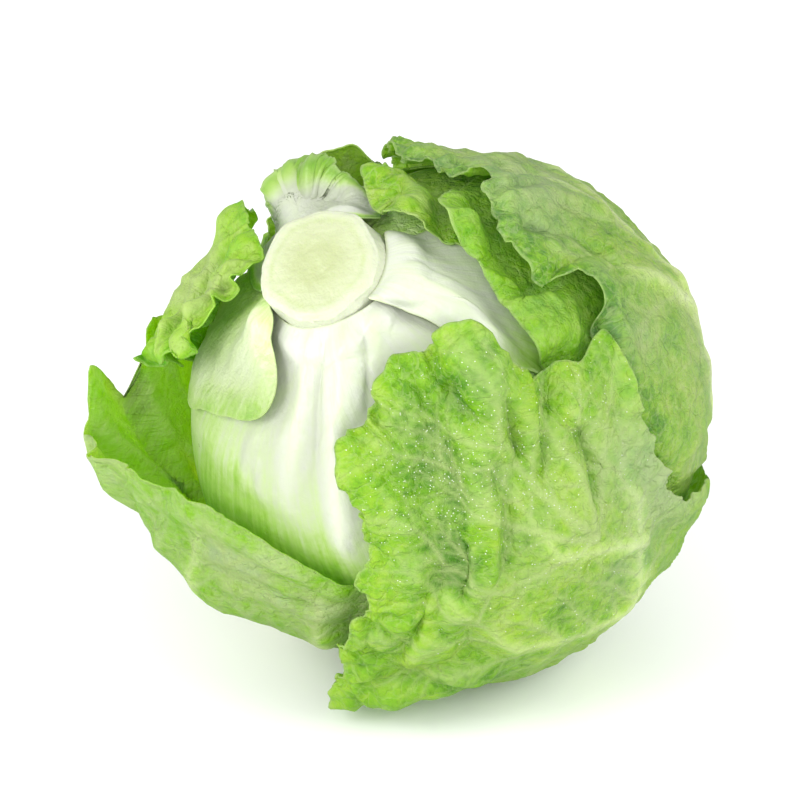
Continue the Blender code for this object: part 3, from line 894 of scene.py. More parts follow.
# The short pale leaf left of the stem.
LEFT_PALE = Leaf(
    "leaf_left_pale",
    (-43, 33),
    (
        (-30, 15.5, 1, 0), (-10, 20, 1.5, 0), (5, 28, 2, 0), (1, 34, 2, 0), (-17, 39, 2, 0),
        (-32, 45, 1.5, 0), (-47, 54, 0, 0), (-66, 56, 0, 0), (-82, 48, 0, 0), (-84, 36, 0, 0),
        (-76, 24, 0, 0), (-60, 16, 0, 0), (-44, 15.2, 0, 0),
    ),
    110,
    peel=0.5,
    crinkle=0.8,
    notches=0.5,
    joined=True,
    finish=LeafFinish(
        white=paint(234, 246, 206), pale=paint(222, 244, 170), vein=paint(242, 250, 220),
        mottle=0.3, net=0.2, streaks=0.5, texture=0.4,
    ),
    relief=Relief.TAUT,
    main_veins=(((-36, 18), (-34, 30), (-30, 44)), ((-30, 18), (-18, 28), (-8, 36))),
    branching=6.0,
    vein_share=0.3,
    jagged=0.5,
    ruffle=0.5,
    greening=(15.0, 60.0, 0.04, 0.1),
    tints=((-6, 35, 0.35, 5), (-28, 43, 0.25, 5), (-60, 30, 0.3, 9), (-18, 36, 0.2, 4)),
    rim_tint=0.2,
)

# The white based leaf above and left of the stem, with a green rim that stands up.
UPPER_LEFT = Leaf(
    "leaf_upper_left",
    (-116, 33),
    (
        (-64, 15.5, 0, 0), (-96, 15.2, 0, 0), (-126, 15.2, 0, 0), (-156, 15.5, 0, 0),
        (-172, 20, 1, 0), (-166, 23, 2, 1), (-156, 26, 4, 1.5), (-143, 30, 6, 1.5),
        (-132, 37, 7, 1.5), (-122, 43, 9, 2), (-112, 44, 11, 2), (-102, 41, 10, 2),
        (-92, 36, 8, 2), (-84, 31, 6, 2), (-76, 27, 3, 1), (-66, 22, 1, 0),
    ),
    120,
    waves=8,
    peel=0.5,
    crinkle=0.3,
    notches=0.8,
    joined=True,
    folds=(Fold(((-112, 15), (-114, 30), (-118, 50)), 3.5, 8.0, solid=True),),
    finish=LeafFinish(mottle=0.2, net=0.15, passes=0.38, streaks=0.3, texture=0.35),
    relief=Relief.TAUT,
    marks=(Fold(((-128, 37), (-118, 39), (-104, 38)), 5.5, 8.0),),
    main_veins=(((-90, 18), (-84, 30), (-82, 38)), ((-136, 18), (-144, 30), (-150, 36))),
    branching=6.0,
    vein_share=0.3,
    jagged=1.4,
    ruffle=1.8,
    ruffles=40,
    greening=(18.0, 46.0, 0.0, 0.04),
    rim_tint=0.9,
    rim_reach=4.2,
    between=0.06,
    cavity_shade_depth=0.1,
)

# The crumpled leaf behind the stem.
TOP_CRUMPLED = Leaf(
    "leaf_top_crumpled",
    (172, 31),
    (
        (-172, 17, 1, 0), (174, 16.5, 2, 1), (160, 17, 3, 2), (148, 20, 4, 3), (138, 25, 4, 3),
        (136, 34, 1, 0), (150, 44, 0, 0), (172, 49, 0, 0), (-168, 47, 4, 4), (-158, 40, 6, 4),
        (-154, 32, 5, 3), (-158, 23, 3, 1),
    ),
    120,
    waves=7,
    peel=0.3,
    crinkle=1.0,
    notches=0.8,
    folds=(
        Fold(((-158, 26), (178, 26), (160, 22)), 3.0, 3.0),
        Fold(((-176, 40), (168, 33), (152, 27)), 3.5, 2.8),
    ),
    finish=DULL,
    relief=Relief.CRUMPLED,
    main_veins=(((-178, 18), (176, 32), (170, 46)), ((170, 18), (158, 28), (148, 36))),
    branching=6.0,
    vein_share=0.5,
    ruffle=1.6,
    ruffles=24,
    greening=(15.0, 45.0, 0.62, 0.78),
    rim_tint=-0.1,
    rim_reach=4.0,
)

# The bright green leaf whose edge runs down beside the slanting rib.
RIGHT_INNER = Leaf(
    "leaf_right_inner",
    (140, 62),
    (
        (152, 25, 3, 2), (144, 24, 4, 3), (136, 25, 4, 3), (128, 27, 3, 2), (120, 31, 2, 1),
        (109, 37, 2, 1), (100, 47, 3, 2), (97, 60, 0, 0), (102, 80, 0, 0), (120, 97, 0, 0),
        (146, 99, 0, 0), (170, 88, 0, 0), (180, 66, 0, 0), (176, 44, 0, 0), (164, 30, 1, 0),
    ),
    120,
    waves=11,
    peel=0.6,
    crinkle=0.6,
    notches=0.6,
    finish=FRESH,
    relief=Relief.CRUMPLED,
    main_veins=(((134, 90), (128, 60), (122, 36)), ((134, 60), (142, 44), (146, 30))),
    branching=7.0,
    vein_share=0.4,
    jagged=0.8,
    ruffle=0.8,
    greening=(20.0, 90.0, 0.86, 0.8),
    rim_tint=-0.15,
    rim_reach=4.0,
)

# The leaf that wraps the back of the head.
BACK = Leaf(
    "leaf_back",
    (-118, 88),
    (
        (-112, 56, 3, 2), (-120, 51, 5, 1), (-126, 46, 8, 1), (-133, 43.5, 9, 1),
        (-139, 44, 8, 1), (-143, 48, 3, 1), (-148, 44, 9, 1), (-153, 50, 4, 2),
        (-168, 62, 1, 1), (176, 80, 0, 0),
        (-176, 104, 0, 0), (-164, 126, 0, 0), (-130, 134, 0, 0), (-92, 130, 0, 0),
        (-72, 114, 0, 0), (-64, 92, 0, 0), (-70, 70, 0, 0), (-86, 60, 2, 3), (-102, 57, 2, 3),
    ),
    120,
    waves=17,
    peel=0.7,
    notches=1.4,
    folds=(
        Fold(((-112, 128), (-116, 96), (-122, 56)), 2.4, 6.0, solid=True),
        Fold(((-115, 104), (-134, 82), (-142, 62)), 1.4, 4.0, solid=True),
        Fold(((-115, 100), (-98, 82), (-92, 64)), 1.4, 4.0, solid=True),
    ),
    finish=OUTER,
    ruffle=1.2,
    ruffles=44,
    greening=(60.0, 130.0, 0.66, 0.4),
    tints=((-130, 44, -0.25, 10), (-148, 46, -0.2, 8)),
    inside_tint=-0.3,
    rim_tint=0.1,
)

# The dull green leaf over the right side and much of the back.
RIGHT_OUTER = Leaf(
    "leaf_right_outer",
    (158, 82),
    (
        (-154, 40, 3, 3), (-165, 35, 3, 3), (-176, 34, 3, 3), (172, 33, 3, 3), (161, 36, 4, 3),
        (150, 33, 2, 2), (134, 35, 1.5, 2), (124, 39, 1.5, 2), (117, 44, 2, 1), (121, 47.5, 4, 1),
        (124, 51, 5, 1), (119, 54.5, 5, 1), (112, 58, 3, 1), (106, 68, 0, 0), (99, 84, 0, 0),
        (98, 100, 0, 0), (104, 114, 0, 0), (128, 128, 0, 0), (170, 132, 0, 0), (-150, 122, 2, 2),
        (-137, 104, 2, 3), (-136, 80, 2, 3), (-143, 57, 2, 3),
    ),
    165,
    waves=19,
    peel=0.72,
    crinkle=0.8,
    notches=1.5,
    folds=(
        Fold(((122, 98), (142, 78), (162, 58), (174, 38)), 2.0, 4.5, solid=True),
        Fold(((136, 85), (134, 66), (130, 44)), 1.4, 3.5, solid=True),
        Fold(((150, 70), (176, 64), (-160, 52)), 1.4, 3.5, solid=True),
        Fold(((132, 90), (168, 92), (-156, 88)), 1.4, 3.5, solid=True),
        Fold(((140, 80), (128, 62), (118, 50)), 1.2, 4.0, tapers=True),
    ),
    finish=DULL,
    relief=Relief.WAVED,
    marks=(
        Fold(((146, 38), (154, 50), (152, 62)), 2.2, 2.6),
        Fold(((160, 40), (166, 52)), -2.0, 2.4),
        Fold(((138, 40), (140, 52), (134, 62)), -1.8, 2.2),
        Fold(((172, 40), (178, 56)), 1.8, 2.6),
        Fold(((128, 52), (118, 60), (110, 70)), 1.2, 2.2),
        Fold(((140, 44), (128, 48), (120, 52)), 0.9, 2.0),
        Fold(((-158, 39), (-172, 35), (174, 34)), -2.4, 8.0),
    ),
    jagged=1.6,
    ruffle=1.6,
    ruffles=52,
    greening=(30.0, 120.0, 0.66, 0.5),
    tints=((122, 56, 0.25, 8), (136, 38, 0.2, 8)),
    # Paler right side and top: pale film, partly painted sheen and painted light.
    bloom_and_sheen_patches=((128, 96, 0.35, 24), (176, 52, 0.3, 20), (150, 44, 0.35, 12), (118, 66, 0.3, 9)),
    inside_tint=-0.15,
    rim_tint=0.15,
)

# The frilled edge of a leaf that shows between the pale leaf and the loose one.
LEFT_FRILL = Leaf(
    "leaf_left_frill",
    (-76, 42),
    (
        (-82, 18, 1, 1), (-68, 20, 2, 2), (-55, 23, 2, 3), (-44, 28, 3, 3), (-39, 33, 3, 3),
        (-44, 40, 4, 3), (-50, 48, 5, 3), (-58, 56, 4, 2), (-72, 62, 2, 0), (-88, 62, 2, 0),
        (-102, 54, 3, 1), (-105, 44, 4, 1), (-101, 34, 4, 1), (-93, 25, 3, 1),
    ),
    130,
    waves=8,
    peel=0.25,
    crinkle=1.0,
    folds=(
        Fold(((-54, 49), (-66, 49), (-76, 46), (-88, 42), (-98, 39)), 8.5, 8.0),
        Fold(((-48, 36), (-62, 34), (-76, 30), (-86, 26)), 4.0, 3.4),
    ),
    finish=FRILL_FINISH,
    relief=Relief.CRUMPLED,
    main_veins=(
        ((-76, 60), (-76, 46), (-76, 28)), ((-76, 50), (-66, 42), (-58, 38)),
        ((-76, 50), (-86, 42), (-92, 36)),
    ),
    branching=6.0,
    vein_share=0.4,
    marks=(
        Fold(((-50, 43), (-60, 44), (-72, 41), (-84, 37)), 3.0, 2.2),
        Fold(((-49, 40), (-58, 40.5), (-70, 37), (-82, 33)), -2.5, 1.6),
        Fold(((-50, 50), (-62, 55), (-76, 53), (-90, 48)), 2.4, 2.0),
        Fold(((-56, 33), (-66, 30), (-76, 26)), 2.6, 2.0),
        Fold(((-48, 48), (-58, 52)), -6.0, 8.0),
        Fold(((-92, 46), (-104, 42)), -5.0, 8.0),
    ),
    jagged=1.5,
    trim=1.0,
    ruffle=2.4,
    ruffles=19,
    greening=(20.0, 60.0, 0.28, 0.38),
    # Green and pale patches along the frill's folds: partly its own colour, partly painted shade in the
    # grooves and painted light on the crests.
    tints=(
        (-56, 40, 0.3, 5), (-80, 28, 0.35, 4), (-92, 33, 0.25, 4), (-64, 39, 0.35, 3), (-72, 36, 0.35, 3),
        (-80, 33.5, 0.3, 3), (-60, 47, -0.3, 3), (-72, 46, -0.3, 3), (-84, 41, -0.3, 3), (-66, 56, 0.3, 3.5),
        (-80, 54, 0.3, 3.5), (-92, 48, 0.3, 3.5),
    ),
    rim_tint=0.42,
    rim_reach=3.6,
    cavity_shade_depth=0.45,
    inside_tint=0.3,
)

# The loose leaf that stands off the head on the lower left like a cup.
LOOSE = Leaf(
    "leaf_loose_left",
    (-38, 102),
    (
        (32, 77, 1, 0), (22, 66, 4, 0), (6, 57, 7, 0), (-9, 55, 9, 1), (-24, 56, 13, 2),
        (-35, 59, 20, 3), (-42, 63, 27, 4), (-47, 61.5, 30, 3), (-51, 60.5, 29, 2),
        (-55.5, 55, 27, 1), (-58.5, 65, 21, 2), (-61.5, 61, 18, 2), (-65, 57, 15, 3),
        (-71, 55.5, 11, 3), (-80, 62, 7, 3), (-92, 72, 5, 3), (-104, 82, 4, 3),
        (-110, 94, 2, 3), (-104, 112, 2, 2), (-82, 126, 0, 0), (-36, 132, 0, 0),
        (10, 124, 0, 0), (32, 106, 0, 0), (38, 90, 0, 0),
    ),
    165,
    waves=21,
    peel=-0.15,
    crinkle=0.6,
    notches=1.6,
    folds=(
        Fold(((-30, 130), (-36, 100), (-46, 66)), 2.2, 5.0, solid=True),
        Fold(((-34, 108), (-60, 88), (-76, 66)), 1.4, 3.5, solid=True),
        Fold(((-34, 104), (-18, 84), (-14, 62)), 1.4, 3.5, solid=True),
        Fold(((-28, 108), (8, 92), (18, 72)), 1.2, 3.5, solid=True),
        Fold(((-26, 77), (-16, 83)), 10.5, 12.0),
        Fold(((-2, 85), (18, 91)), 5.0, 12.0),
    ),
    finish=LOOSE_FINISH,
    marks=(
        Fold(((-30, 66), (-12, 61), (4, 61), (16, 66), (24, 74)), 1.3, 2.4),
        Fold(((-14, 70), (2, 68), (14, 72), (22, 79)), 1.0, 2.2),
        Fold(((-8, 76), (4, 75), (14, 79)), 0.9, 2.0),
        Fold(((-40, 72), (-34, 82), (-30, 92)), 1.2, 3.0),
        Fold(((-46, 64), (-40, 76), (-34, 88)), -1.2, 2.0),
        Fold(((-52, 90), (-54, 76), (-58, 66), (-60, 60)), -1.6, 1.5),
        Fold(((-46, 88), (-49, 74), (-50, 62)), -1.5, 1.4),
        Fold(((-58, 90), (-62, 76), (-67, 62)), -1.4, 1.4),
        Fold(((-49, 88), (-56, 72), (-56, 62)), 1.4, 1.8),
    ),
    main_veins=(
        ((-30, 128), (-22, 96), (-26, 60)),
        ((-30, 128), (-48, 96), (-58, 64)),
        ((-20, 126), (-4, 92), (-6, 60)),
        ((-52, 90), (-54, 76), (-58, 66), (-60, 60)),
        ((-46, 88), (-49, 74), (-50, 62)),
        ((-58, 90), (-62, 76), (-67, 62)),
        ((-40, 86), (-42, 76), (-41, 66)),
    ),
    branching=7.0,
    jagged=1.4,
    lengthwise=True,
    trim=2.4,
    sink=2.2,
    ruffle=1.8,
    ruffles=36,
    vein_share=1.3,
    greening=(50.0, 110.0, 0.3, 0.4),
    between=0.3,
    tints=(
        (-8, 68, -0.3, 7), (2, 66, -0.2, 6), (-20, 64, 0.35, 4), (22, 68, 0.3, 6), (-40, 66, -0.12, 8),
        (18, 78, -0.1, 6), (-2, 60, 0.2, 4), (10, 70, 0.2, 4), (-28, 84, 0.3, 5),
    ),
    cavity_shade_depth=0.5,
    inside_tint=0.44,
    rim_tint=-0.15,
    rim_reach=4.0,
)

# The torn outer leaf across the front and under the head. It carries the head.
FRONT_OUTER = Leaf(
    "leaf_front_outer",
    (66, 94),
    (
        (113, 58, 1.5, 0), (104, 56, 1, 0), (99, 51, 1.5, 0), (93, 49, 2, 1), (90, 43, 3, 2),
        (91, 34, 4, 2), (80, 30, 4, 2), (68, 28, 3, 2), (61, 28, 3, 2), (51, 31, 3, 3),
        (45, 36, 3, 3), (37, 38, 5, 3), (36, 44, 4, 3), (38, 51, 3, 3), (37, 57, 3, 3),
        (32, 65, 3, 3), (27, 75, 3, 3), (20, 84, 3, 3), (14, 94, 6, 3), (7, 105, 10, 3),
        (4, 112, 6, 2), (-8, 124, 0, 0), (-28, 140, 0, 0), (-60, 156, 0, 0),
        (170, 160, 0, 0), (140, 140, 1, 2), (120, 122, 1, 2), (104, 104, 1, 1.5),
        (97, 95, 1, 1.5), (98, 86, 1, 1.5), (101, 74, 1.5, 2), (106, 66, 1.5, 2),
    ),
    205,
    waves=18,
    peel=0.6,
    crinkle=0.9,
    notches=1.6,
    folds=(
        Fold(((91, 33), (78, 44), (66, 58), (54, 74), (36, 88)), 4.0, 5.0),
        Fold(((37, 42), (44, 56), (40, 70), (30, 84)), 2.5, 4.0),
        Fold(((86, 40), (84, 46)), 4.5, 7.0),
        Fold(((88, 50), (84, 62)), -2.2, 2.6),
        Fold(((94, 54), (88, 72)), -2.4, 2.8),
        Fold(((24, 103), (38, 103)), 6.5, 8.0),
        Fold(((60, 136), (78, 112), (90, 88), (94, 58)), 1.8, 4.5, solid=True),
        Fold(((76, 114), (52, 98), (46, 76)), 1.2, 3.5, solid=True),
        Fold(((86, 98), (70, 80), (70, 52)), 1.2, 3.5, solid=True),
    ),
    finish=OUTER,
    relief=Relief.WAVED,
    marks=(
        Fold(((86, 50), (84, 62), (80, 74)), 2.0, 11.0),
        Fold(((83, 47), (80, 52), (77, 57)), -2.8, 2.4),
        Fold(((95, 50), (86, 57), (79, 64)), -2.6, 2.8),
        Fold(((92, 64), (88, 70), (83, 77)), -2.4, 2.6),
        Fold(((70, 56), (66, 66), (58, 76)), -1.8, 2.8),
        Fold(((64, 44), (54, 58), (48, 72)), -2.0, 7.0),
        Fold(((84, 41), (80, 44)), 2.2, 4.5),
        Fold(((76, 38), (75, 47)), -2.6, 1.8),
        Fold(((78, 84), (75, 66), (75, 48)), 0.6, 1.3),
        Fold(((78, 84), (84, 68), (88, 52)), 0.6, 1.3),
        Fold(((34, 78), (42, 76)), 1.8, 1.8),
        Fold(((42, 77), (38, 84), (30, 92)), 2.0, 1.8),
        Fold(((30, 78), (32, 84)), -1.6, 2.6),
        Fold(((54, 67), (49, 77)), -3.4, 2.0),
        Fold(((58, 79), (56, 88), (60, 100)), 0.7, 1.6),
        Fold(((28, 97), (36, 103)), -2.4, 3.0),
        Fold(((68, 32), (66, 46), (60, 60), (52, 74)), -1.0, 3.0),
        Fold(((71, 33), (69, 46), (63, 60), (56, 74)), 1.2, 2.6),
    ),
    main_veins=(
        ((78, 84), (75, 66), (75, 48)),
        ((78, 84), (84, 68), (88, 52)),
        ((78, 84), (92, 72), (102, 62)),
        ((78, 84), (64, 66), (60, 44)),
        ((78, 84), (56, 80), (44, 64)),
    ),
    branching=8.0,
    jagged=1.6,
    ruffle=1.3,
    ruffles=60,
    vein_share=1.1,
    greening=(30.0, 140.0, 0.68, 0.62),
    tints=(
        (60, 46, 0.16, 12), (50, 64, 0.16, 10), (83, 41, 0.3, 5), (82, 58, 0.1, 8), (98, 92, -0.22, 16),
        (51, 72, 0.35, 4), (42, 104, 0.3, 6), (56, 92, -0.18, 6), (70, 72, 0.15, 7), (88, 78, 0.12, 7),
        (66, 100, 0.12, 9), (84, 100, 0.14, 8), (76, 90, -0.12, 6),
    ),
    # Paler right side: pale film, partly painted sheen.
    bloom_and_sheen_patches=((102, 92, 0.7, 15), (98, 76, 0.3, 9), (80, 100, 0.2, 8)),
    rim_tint=-0.1,
    rim_reach=5.0,
)

LEAVES = (
    FRONT_RIB, RIGHT_RIB, LEFT_PALE, UPPER_LEFT, TOP_CRUMPLED, RIGHT_INNER, BACK,
    RIGHT_OUTER, LEFT_FRILL, LOOSE, FRONT_OUTER,
)


@dataclass
class Layers:
    """The leaves over each other along a set of directions."""

    rows: np.ndarray

    def __post_init__(self) -> None:
        """Reads every leaf's cover once."""
        self.covers = [leaf.cover(self.rows) for leaf in LEAVES]

    def free(self, index: int) -> np.ndarray:
        """Where nothing lies over a leaf.

        Args:
            index: The leaf's place in LEAVES.

        Returns:
            1 where it is free, and 0 under any other leaf.
        """
        share = np.ones(self.rows.shape[:-1])
        for cover in self.covers[index + 1 :]:
            share = share * (1.0 - cover)
        return share

    def sheet(self, index: int) -> tuple[np.ndarray, np.ndarray]:
        """The radius of a leaf's inner face and its thickness, in mm.

        Args:
            index: The leaf's place in LEAVES.

        Returns:
            The radii and the thicknesses, one for each row.
        """
        radius = heart_radius(self.rows)
        for k, leaf in enumerate(LEAVES[:index]):
            free = self.free(k)
            body = LEAF_THICKNESS + LEAF_GAP + free * (leaf.lift(self.rows) + leaf.thickness(self.rows))
            radius = radius + self.covers[k] * body
        leaf, free = LEAVES[index], self.free(index)
        inner = radius + LEAF_GAP + free * leaf.lift(self.rows)
        return inner, LEAF_THICKNESS + free * leaf.thickness(self.rows)


def middle_height() -> float:
    """How high the middle of the head is over the table once the flat spot is pressed in."""
    inner, thickness = Layers(DOWNWARDS).sheet(len(LEAVES) - 1)
    return float(inner[0] + thickness[0]) - FLAT_DEPTH


MIDDLE_HEIGHT = middle_height()
MIDDLE = np.array([0.0, 0.0, MIDDLE_HEIGHT])


def seated(points: np.ndarray, clearance: float) -> np.ndarray:
    """Points from the middle of the head, moved to the table's frame and kept in the frame's box.

    Args:
        points: Points in mm from the middle of the head.
        clearance: The least height over the table.

    Returns:
        Points in mm in the table's frame.
    """
    points = points + MIDDLE
    soft = BOX_SOFTNESS
    for axis in range(3):
        top, foot = CAD_BOX[1][axis] / MM - BOX_MARGIN, CAD_BOX[0][axis] / MM + BOX_MARGIN
        over = np.maximum(points[..., axis] - (top - soft), 0.0)
        points[..., axis] -= over - soft * (1.0 - np.exp(-over / soft))
        if axis < 2:
            under = np.maximum(foot + soft - points[..., axis], 0.0)
            points[..., axis] += under - soft * (1.0 - np.exp(-under / soft))
    points[..., 2] = np.maximum(points[..., 2], clearance)
    return points


def round_grid(squares: int) -> tuple[np.ndarray, np.ndarray]:
    """A square grid bent into a disc.

    Args:
        squares: The squares along its side.

    Returns:
        The share of the way to the rim and the angle, for each point.
    """
    a, b = np.meshgrid(np.linspace(-1, 1, squares + 1), np.linspace(-1, 1, squares + 1))
    wide = np.abs(a) > np.abs(b)
    long = np.where(wide, a, b)
    ratio = np.divide(np.where(wide, b, a), long, out=np.zeros_like(long), where=long != 0)
    turn = np.where(wide, math.pi / 4 * ratio, math.pi / 2 - math.pi / 4 * ratio)
    turn = np.where(long < 0, turn + math.pi, turn)
    return np.abs(long), turn


def grid_triangles(squares: int) -> np.ndarray:
    """Triangles of one face of a leaf's grid.

    Args:
        squares: The squares along its side.

    Returns:
        Corner numbers, one row for each triangle.
    """
    side = squares + 1
    i, j = np.meshgrid(np.arange(squares), np.arange(squares), indexing="ij")
    a, b = i * side + j, i * side + j + 1
    c, d = (i + 1) * side + j + 1, (i + 1) * side + j
    main = ((i < squares / 2) == (j < squares / 2))[..., None]
    first = np.where(main, np.stack([a, b, c], -1), np.stack([a, b, d], -1))
    second = np.where(main, np.stack([a, c, d], -1), np.stack([b, c, d], -1))
    return np.concatenate([first.reshape(-1, 3), second.reshape(-1, 3)])


def sheet_triangles(squares: int, outward: bool) -> np.ndarray:
    """Triangles of a closed leaf, whose inner grid comes first.

    Args:
        squares: The squares along the grid's side.
        outward: Whether the grid's own triangles already face away from the head.

    Returns:
        Corner numbers, one row for each triangle.
    """
    side = squares + 1
    face = grid_triangles(squares)
    ring = [j for j in range(squares)] + [i * side + squares for i in range(squares)]
    ring += [squares * side + j for j in range(squares, 0, -1)]
    ring += [i * side for i in range(squares, 0, -1)]
    a = np.array(ring)
    b = np.roll(a, -1)
    step = side * side
    wall = np.concatenate([np.stack([a, b, b + step], -1), np.stack([a, b + step, a + step], -1)])
    every = np.concatenate([face[:, [0, 2, 1]], face + step, wall])
    return every if outward else every[:, [0, 2, 1]]


def grid_normals(points: np.ndarray, face: np.ndarray) -> np.ndarray:
    """The normals of a grid of points, evened with their neighbours'.

    Args:
        points: The grid of points.
        face: Its triangles.

    Returns:
        Unit vectors.
    """
    flat = points.reshape(-1, 3)
    cross = np.cross(flat[face[:, 1]] - flat[face[:, 0]], flat[face[:, 2]] - flat[face[:, 0]])
    total = np.stack(
        [
            sum(np.bincount(face[:, k], cross[:, axis], len(flat)) for k in range(3))
            for axis in range(3)
        ],
        -1,
    ).reshape(points.shape)
    framed = np.pad(unit(total), ((1, 1), (1, 1), (0, 0)), mode="edge")
    evened = framed[:-2, 1:-1] + framed[2:, 1:-1] + framed[1:-1, :-2] + framed[1:-1, 2:]
    return unit(framed[1:-1, 1:-1] * 2.0 + evened)


@dataclass
class VeinNet:
    """Veins that branch from a leaf's main ones, drawn on the leaf laid flat, in mm."""

    leaf: Leaf
    cell: float = 1.6
    longest: tuple[float, float] = (46.0, 13.0)
    widths: tuple[float, float, float] = (1.6, 1.15, 0.85)
    strengths: tuple[float, float, float] = (1.0, 0.85, 0.65)

    def cell_at(self, spot: np.ndarray) -> tuple[int, int]:
        """The cell of the flat leaf that holds this spot."""
        return int(spot[0] // self.cell), int(spot[1] // self.cell)

    def flat(self, rows: np.ndarray) -> np.ndarray:
        """Lays directions on the flat leaf.

        Args:
            rows: Unit vectors.

        Returns:
            Places in mm.
        """
        away, turn = self.leaf.polar(rows)
        away = np.radians(away) * HEART_RADIUS
        return np.stack([away * np.sin(turn), away * np.cos(turn)], -1)

    def on_leaf(self, spot: np.ndarray) -> bool:
        """Whether a spot of the flat leaf is inside its rim."""
        away = math.degrees(math.hypot(*spot) / HEART_RADIUS)
        return away < 0.97 * float(self.leaf.reach(np.array([math.atan2(spot[0], spot[1])]))[0])

    def main_lines(self) -> list[np.ndarray]:
        """Draws the main veins.

        Returns:
            Each vein as points 1 mm apart.
        """
        lines = []
        given = [fold.line for fold in self.leaf.folds if fold.solid]
        for line in given + list(self.leaf.main_veins):
            ends = self.flat(direction(*np.array(line, float).T))
            steps = np.concatenate([[0.0], np.cumsum(np.linalg.norm(np.diff(ends, axis=0), axis=1))])
            at = np.arange(0.0, steps[-1], 1.0)
            lines.append(np.stack([np.interp(at, steps, ends[:, k]) for k in (0, 1)], -1))
        return lines

    def grown(self) -> list[list[np.ndarray]]:
        """The veins of each level: the main ones, and two levels of branches.

        Returns:
            A list of lines for each level.
        """
        rng = np.random.default_rng(self.leaf.seed + 5)
        levels = [self.main_lines()]
        taken = {self.cell_at(spot) for line in levels[0] for spot in line}
        for spacing, longest in zip((self.leaf.branching, self.leaf.branching * 0.5), self.longest):
            made = []
            for line in levels[-1]:
                place, hand = spacing * rng.uniform(0.3, 0.8), rng.choice([-1, 1])
                while place < len(line) - 3:
                    k = int(place)
                    made.append(self.branch(line, k, hand, longest * rng.uniform(0.5, 1.0), rng, taken))
                    place += spacing * rng.uniform(0.35, 0.8)
                    hand = -hand
            levels.append([line for line in made if len(line) > 4])
        return levels

    def branch(
        self, line: np.ndarray, k: int, hand: int, length: float, rng: np.random.Generator, taken: set
    ) -> np.ndarray:
        """One branch from point k of a line, which stops at the rim or at another vein.

        Args:
            line: The vein it leaves.
            k: The point that it leaves at.
            hand: 1 or -1, the side that it leaves to.
            length: The longest that it may grow, in mm.
            rng: The source of its small bends.
            taken: The cells of the leaf that hold a vein.

        Returns:
            The branch's points.
        """
        along = line[min(k + 2, len(line) - 1)] - line[max(k - 2, 0)]
        heading = math.atan2(along[1], along[0]) + hand * math.radians(rng.uniform(32, 58))
        spot = line[k].copy()
        points = [spot.copy()]
        while len(points) < length:
            heading += rng.normal(0.0, 0.09) - hand * 0.012
            spot = spot + np.array([math.cos(heading), math.sin(heading)])
            points.append(spot.copy())
            if len(points) > 5 and (self.cell_at(spot) in taken or not self.on_leaf(spot)):
                break
        taken.update(self.cell_at(spot) for spot in points[3:])
        return np.array(points)

    def shares(self, rows: np.ndarray) -> tuple[np.ndarray, np.ndarray]:
        """How much of a vein lies at these directions.

        Args:
            rows: Unit vectors.

        Returns:
            The veins' strength from 0 to 1, and the distance to the nearest one in mm.
        """
        spots = self.flat(rows).reshape(-1, 2)
        strength = np.zeros(len(spots))
        nearest = np.full(len(spots), 30.0)
        for level, lines in enumerate(self.grown()):
            if not lines:
                continue
            points = np.concatenate(lines)
            ends = np.concatenate([np.linspace(1.0, 0.5, len(line)) for line in lines])
            tree = KDTree(len(points))
            for k, (x, y) in enumerate(points):
                tree.insert((x, y, 0.0), k)
            tree.balance()
            found = [tree.find((x, y, 0.0)) for x, y in spots]
            which = np.array([f[1] for f in found])
            gap = np.array([f[2] for f in found])
            width = self.widths[level] * (0.6 + 0.4 * ends[which])
            strong = self.strengths[level] * ends[which] * np.exp(-((gap / width) ** 2))
            strength = np.maximum(strength, strong)
            nearest = np.minimum(nearest, gap)
        shape = rows.shape[:-1]
        return strength.reshape(shape), nearest.reshape(shape)


def add_mesh(
    name: str,
    points: np.ndarray,
    faces: np.ndarray,
    fields: dict[str, np.ndarray],
    maps: dict[str, np.ndarray],
    look: bpy.types.Material,
) -> bpy.types.Object:
    """Makes an object of a mesh with its values and maps.

    Args:
        name: The object's name.
        points: Corners in mm in the table's frame.
        faces: Corner numbers of each face.
        fields: A value for each corner, by attribute name.
        maps: A pair of numbers for each corner, by UV map name.
        look: Its material.

    Returns:
        The object, in the scene.
    """
    mesh = bpy.data.meshes.new(name)
    mesh.from_pydata((points.reshape(-1, 3) * MM).tolist(), [], faces.tolist())
    for title, values in fields.items():
        layer = mesh.attributes.new(title, "FLOAT", "POINT")
        layer.data.foreach_set("value", values.ravel().astype(np.float32))
    corner = np.zeros(len(mesh.loops), dtype=np.int32)
    mesh.loops.foreach_get("vertex_index", corner)
    for title, pairs in maps.items():
        layer = mesh.uv_layers.new(name=title)
        layer.uv.foreach_set("vector", pairs.reshape(-1, 2)[corner].ravel().astype(np.float32))
    mesh.shade_smooth()
    mesh.materials.append(look)
    return in_scene(name, mesh)


def place_piece(piece: bpy.types.Object, slot: str, *nodes: str) -> None:
    """Lets a piece ride on the part's one body and hides the nodes that it replaces.

    Args:
        piece: The finished object.
        slot: Its material slot; not used.
        nodes: The nodes that it replaces.
    """
    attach(piece, "root")
    if nodes:
        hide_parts(*nodes)
    LOG.info("%s: %d faces", piece.name, len(piece.data.polygons))


